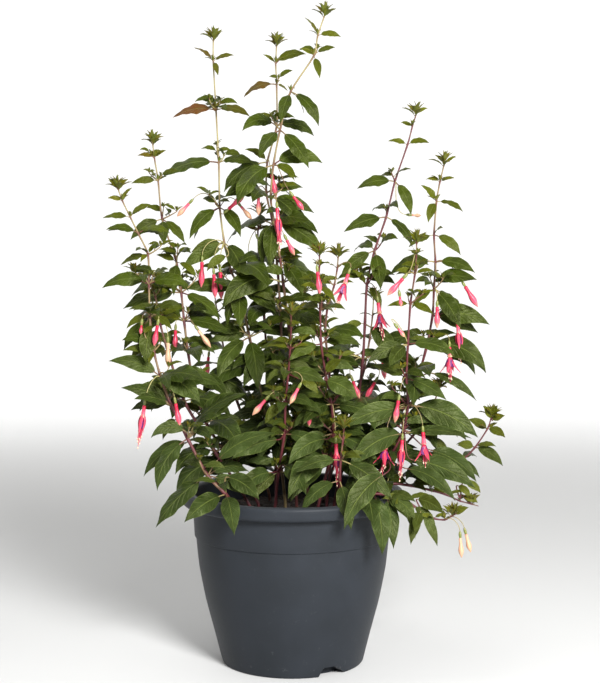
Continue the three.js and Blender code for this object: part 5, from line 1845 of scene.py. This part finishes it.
class FUCHSIA_OT_grow_stems(bpy.types.Operator):
    """Grows the leafy stems with their side shoots, flower stalks and smallest buds"""

    bl_idname = "fuchsia.grow_stems"
    bl_label = "Grow the stems"

    def execute(self, context):
        scene = context.scene
        finishes = [
            shared("fuchsia_leaf", leaf_finish, scene.fuchsia_leaves),
            shared("fuchsia_stem", bark_finish, scene.fuchsia_stems),
            *flower_finishes("ovary", "bud"),
        ]
        crowd = Crowd()
        surfaces = {stem.name: Surface() for stem in STEMS}
        displaced = []
        for index, stem in enumerate(STEMS):
            displaced += self.grow_planned_leaves(surfaces[stem.name], stem, index, crowd)
        flowers = hung_flowers()
        for flower, _, _, top, axis, _ in flowers:
            for step in range(-6, round(flower.reach), 3):
                crowd.keep_open(along(top, axis, step))
        for surface, joint, plan, tint, bronze in displaced:
            blade = show_face(leaf_blade(joint, plan), 2 * SHOWN_TURN)
            if crowd.has_room(blade, PLANNED_LEAF_ROOM):
                crowd.add(blade)
                grow_leaf(surface, blade, tint, age_of(blade, 0.15, 55), bronze)
        self.grow_loose_leaves(surfaces, crowd)
        for flower, number, joint, top, axis, _ in flowers:
            surface = surfaces[flower.stem]
            grow_pedicel(surface, joint, top, axis)
            if flower.kind == "fused":
                tint = random.Random(number).random() * 0.5 + flower.pale
                grow_bud(surface, top, axis, flower.length, 1.3 + 0.07 * flower.length, SMALL_BUD, tint)
        for index, stem in enumerate(STEMS):
            self.grow_shoots(surfaces[stem.name], stem, crowd, random.Random(SHOOT_SEED + index))
        for name, surface in surfaces.items():
            surface.build(f"stem_{name}_grown", finishes, "leafy_stem", 100, f"stem_{name}")
        return {"FINISHED"}

    @staticmethod
    def grow_planned_leaves(surface, stem, index, crowd):
        """A stem with the leaves of its solid. Returns the plans of those that had to move or drop out."""
        chance = random.Random(STEM_SEED + index)
        joints = grow_rod(surface, stem)
        displaced = []
        for plan in leaf_plans(stem, index):
            i = plan["joint"]
            blade, in_place = settled_leaf(stem, joints[i], plan)
            tint = chance.random()
            young = chance.random()
            near_tip = i >= len(joints) - 2
            bronze = BRONZE_WHORLS.get((stem.name, i), TIP_BRONZE * young if near_tip else 0)
            if blade:
                crowd.add(blade)
                if blade.out.x > RIGHTWARD:
                    bronze *= RIGHTWARD_BRONZE
                show_face(blade, SHOWN_TURN if joints[i].y < BACK_DEPTH else 0)
                grow_leaf(surface, blade, tint, age_of(blade, 0.15, 55), bronze)
            if not in_place:
                displaced.append((surface, joints[i], plan, tint, bronze))
        return displaced

    @staticmethod
    def grow_loose_leaves(surfaces, crowd):
        """The leaves whose places are listed, each on a twig from its joint."""
        chance = random.Random(LOOSE_LEAF_SEED)
        for name, number, start, tip, width in LOOSE_LEAVES:
            stem = STEM_BY_NAME[name]
            joint = stem.points()[number]
            blade = loose_blade(Vector(start), Vector(tip), width, chance)
            crowd.add(blade)
            grow_leaf(surfaces[name], blade, chance.random(), age_of(blade, 0.15, 48), 0)
            path = bezier(
                joint, joint.lerp(blade.root, 0.4) + UP * 0.08 * (blade.root - joint).length,
                along(blade.root, blade.at(0)[1], -0.3 * (blade.root - joint).length), blade.root, 8,
            )
            twig(surfaces[name], path, 0.9, 0.6, BARK, stem.red)

    @staticmethod
    def grow_shoots(surface, stem, crowd, chance):
        """Side shoots along a stem, and the tufts at its tip and at its fullest joints."""
        fullness = 0 if stem.name in BARE_STEMS else bpy.context.scene.fuchsia_leaves.fullness
        joints = stem.points()
        for i, joint in enumerate(joints[:-1]):
            from_tip = (joints[-1] - joint).length
            dense = thickness_at(joint) * fullness
            grown = 1 - math.exp(-from_tip / SHOOT_GROWTH_REACH)
            for k in range(SHOOTS_TRIED):
                azimuth = stem.turn + 90 * k + 45 * (i % 2) + chance.uniform(-20, 20)
                length = lerp(3, 24, grown) * chance.uniform(0.4, 1.3)
                largest = lerp(11, 56, grown) * chance.uniform(0.65, 1.05)
                if chance.random() < SHOOT_CHANCE * dense:
                    grow_shoot(surface, joint, azimuth, length, largest, crowd, chance, stem.red)
            for _ in range(LEAVES_TRIED):
                azimuth = chance.uniform(0, 360)
                wanted = lerp(14, 72, grown) * chance.uniform(0.6, 1)
                if chance.random() < LEAF_CHANCE * dense:
                    blade = placed_leaf(joint, azimuth, wanted, joint, crowd, chance)
                    if blade:
                        grow_leaf(surface, blade, chance.random(), age_of(blade, 0.2, 52), 0)
            if (stem.name, i) in TUFTED_JOINTS:
                count, length, bronze = TUFTED_JOINTS[stem.name, i]
                grow_tuft(surface, joint, UP, count, length, chance, bronze)
        axis = (joints[-1] - joints[-2]).normalized()
        grow_tuft(surface, along(joints[-1], axis, 4), axis, 11, 16, chance, 0.35, 8)


class FUCHSIA_OT_hang_blooms(bpy.types.Operator):
    """Hangs the separate buds, parting flowers and open flowers' tubes"""

    bl_idname = "fuchsia.hang_blooms"
    bl_label = "Hang the blooms"

    def execute(self, context):
        finishes = flower_finishes("bud", "sepal", "petal", "filament", "anther")
        for flower, number, _, top, axis, nodes in hung_flowers():
            if flower.kind == "fused":
                continue
            chance = random.Random(BLOOM_SEED + number)
            surface = Surface()
            if flower.kind == "bud":
                widest = 1.4 + 0.072 * flower.length
                grow_bud(surface, top, axis, flower.length, widest, BUD, 0.5 * chance.random() + flower.pale)
            elif flower.kind == "split":
                grow_split(surface, flower, top, axis, chance)
            else:
                grow_open_tube(surface, flower, number, top, axis, chance)
            surface.build(f"{nodes[0]}_grown", finishes, "bloom", 100, nodes[0])
        return {"FINISHED"}


class FUCHSIA_OT_set_corollas(bpy.types.Operator):
    """Sets the purple petals, stamens and style into each open flower"""

    bl_idname = "fuchsia.set_corollas"
    bl_label = "Set the inner petals"

    def execute(self, context):
        finishes = flower_finishes("petal", "filament", "anther")
        for flower, number, _, top, axis, nodes in hung_flowers():
            if flower.kind != "open":
                continue
            chance = random.Random(COROLLA_SEED + number)
            surface = Surface()
            start = along(top, axis, flower.length + SEAT_GAP)
            grow_petals(surface, start, axis, OPEN_TURN * number, 10.6, 4.5, INNER_PETAL, 0)
            inside = along(start, axis, 1)
            grow_stamens(surface, inside, axis, STYLE_REACH - 1, INNER_FILAMENT, INNER_ANTHER, chance)
            surface.build(f"{nodes[1]}_grown", finishes, "corolla", 100, nodes[1])
        return {"FINISHED"}


class FUCHSIA_OT_set_studio(bpy.types.Operator):
    """Sets the round backdrop, soft light and camera"""

    bl_idname = "fuchsia.set_studio"
    bl_label = "Set the studio"

    def execute(self, context):
        look = context.scene.fuchsia_studio
        scene = context.scene
        scene.view_settings.view_transform = "Standard"
        world = bpy.data.worlds.new("daylight")
        world.use_nodes = True
        background = world.node_tree.nodes["Background"]
        background.inputs["Color"].default_value = (1, 1, 1, 1)
        background.inputs["Strength"].default_value = look.daylight
        scene.world = world
        self.lay_floor(look)
        for name, (place, size, power) in LAMPS.items():
            self.hang_light(name, place, size, getattr(look, power))
        self.place_camera(look)
        return {"FINISHED"}

    @staticmethod
    def lay_floor(look):
        """A pale floor that curves up all round into a backdrop and glows, brighter behind the plant,
        lighting it like a lamp.
        """
        finish = Finish("studio_floor")
        grain = finish.noise(3.0)
        distance = finish.node("ShaderNodeVectorMath", {"operation": "LENGTH"}, {0: finish.place()}, 1)
        depth = finish.axis(1)
        # The glow is light from a part that is no lamp: it lights the plant from all round, most from
        # behind.
        glow = distance.rising(0.5, 2.6) * (0.32 + 0.68 * depth.rising(0.4, 2.4))
        finish.finished(
            Base_Color=(*look.floor, 1),
            Roughness=0.7 + 0.1 * grain,
            Emission_Color=finish.mix(glow, (0, 0, 0), (1, 1, 1)),
            Emission_Strength=look.glow,
        )
        rings = [(BACKDROP_FLAT / 2, 0), (BACKDROP_FLAT, 0)]
        for turn in (0.4, 0.8, 1.2, 1.57):
            out, rise = BACKDROP_CURVE * math.sin(turn), BACKDROP_CURVE * (1 - math.cos(turn))
            rings.append((BACKDROP_FLAT + out, rise))
        rings.append((BACKDROP_FLAT + BACKDROP_CURVE, BACKDROP_TOP))
        count = BACKDROP_COLUMNS
        corners = [(0, 0, 0)]
        for radius, level in rings:
            corners += [(x, y, level) for x, y in circle(radius, count)]
        faces = [(0, 1 + k, 1 + (k + 1) % count) for k in range(count)]
        for i in range(len(rings) - 1):
            here, ahead = 1 + i * count, 1 + (i + 1) * count
            for k in range(count):
                beside = (k + 1) % count
                faces.append((here + k, ahead + k, ahead + beside, here + beside))
        mesh = bpy.data.meshes.new("studio_floor")
        mesh.from_pydata(corners, [], faces)
        mesh.polygons.foreach_set("use_smooth", [True] * len(faces))
        mesh.materials.append(finish.material)
        floor = linked("studio_floor", mesh)

    @staticmethod
    def hang_light(name, place, size, power):
        light = bpy.data.lights.new(name, "AREA")
        light.shape = "DISK"
        light.size = size
        light.energy = power
        lamp = linked(name, light)
        lamp.location = place
        aim = LAMP_AIM - Vector(place)
        lamp.rotation_euler = aim.to_track_quat("-Z", "Y").to_euler()

    @staticmethod
    def place_camera(look):
        lens = bpy.data.cameras.new("front")
        lens.lens = CAMERA_LENS
        lens.sensor_width = CAMERA_SENSOR
        camera = linked("front", lens)
        camera.location = (CAMERA_ACROSS, -look.distance, look.camera_height)
        camera.rotation_euler = (math.radians(90 - CAMERA_DOWN_TILT), 0, 0)
        bpy.context.scene.camera = camera


class FUCHSIA_PT_fuchsia(bpy.types.Panel):
    """The steps in order, with the settings of each"""

    bl_idname = "FUCHSIA_PT_fuchsia"
    bl_label = "Potted fuchsia"
    bl_space_type = "VIEW_3D"
    bl_region_type = "UI"
    bl_category = "Fuchsia"

    def draw(self, context):
        for operator, groups in STEPS:
            box = self.layout.box()
            box.operator(operator.bl_idname)
            for group in groups:
                look = getattr(context.scene, group)
                for name in look.__annotations__:
                    box.prop(look, name)


GROUPS = {
    "fuchsia_pot": PotSettings,
    "fuchsia_soil": SoilSettings,
    "fuchsia_leaves": LeafSettings,
    "fuchsia_stems": StemSettings,
    "fuchsia_flowers": FlowerSettings,
    "fuchsia_studio": StudioSettings,
}
STEPS = [
    (FUCHSIA_OT_make_pot, ["fuchsia_pot"]),
    (FUCHSIA_OT_fill_soil, ["fuchsia_soil"]),
    (FUCHSIA_OT_grow_stems, ["fuchsia_leaves", "fuchsia_stems"]),
    (FUCHSIA_OT_hang_blooms, ["fuchsia_flowers"]),
    (FUCHSIA_OT_set_corollas, []),
    (FUCHSIA_OT_set_studio, ["fuchsia_studio"]),
]


def register():
    for name, group in GROUPS.items():
        bpy.utils.register_class(group)
        setattr(bpy.types.Scene, name, PointerProperty(type=group))
    for operator, _ in STEPS:
        bpy.utils.register_class(operator)
    bpy.utils.register_class(FUCHSIA_PT_fuchsia)


def unregister():
    bpy.utils.unregister_class(FUCHSIA_PT_fuchsia)
    for operator, _ in reversed(STEPS):
        bpy.utils.unregister_class(operator)
    for name, group in reversed(GROUPS.items()):
        delattr(bpy.types.Scene, name)
        bpy.utils.unregister_class(group)


def main():
    register()
    bpy.ops.fuchsia.make_pot()
    bpy.ops.fuchsia.fill_soil()
    bpy.ops.fuchsia.grow_stems()
    bpy.ops.fuchsia.hang_blooms()
    bpy.ops.fuchsia.set_corollas()
    bpy.ops.fuchsia.set_studio()


if __name__ == "__main__":
    main()
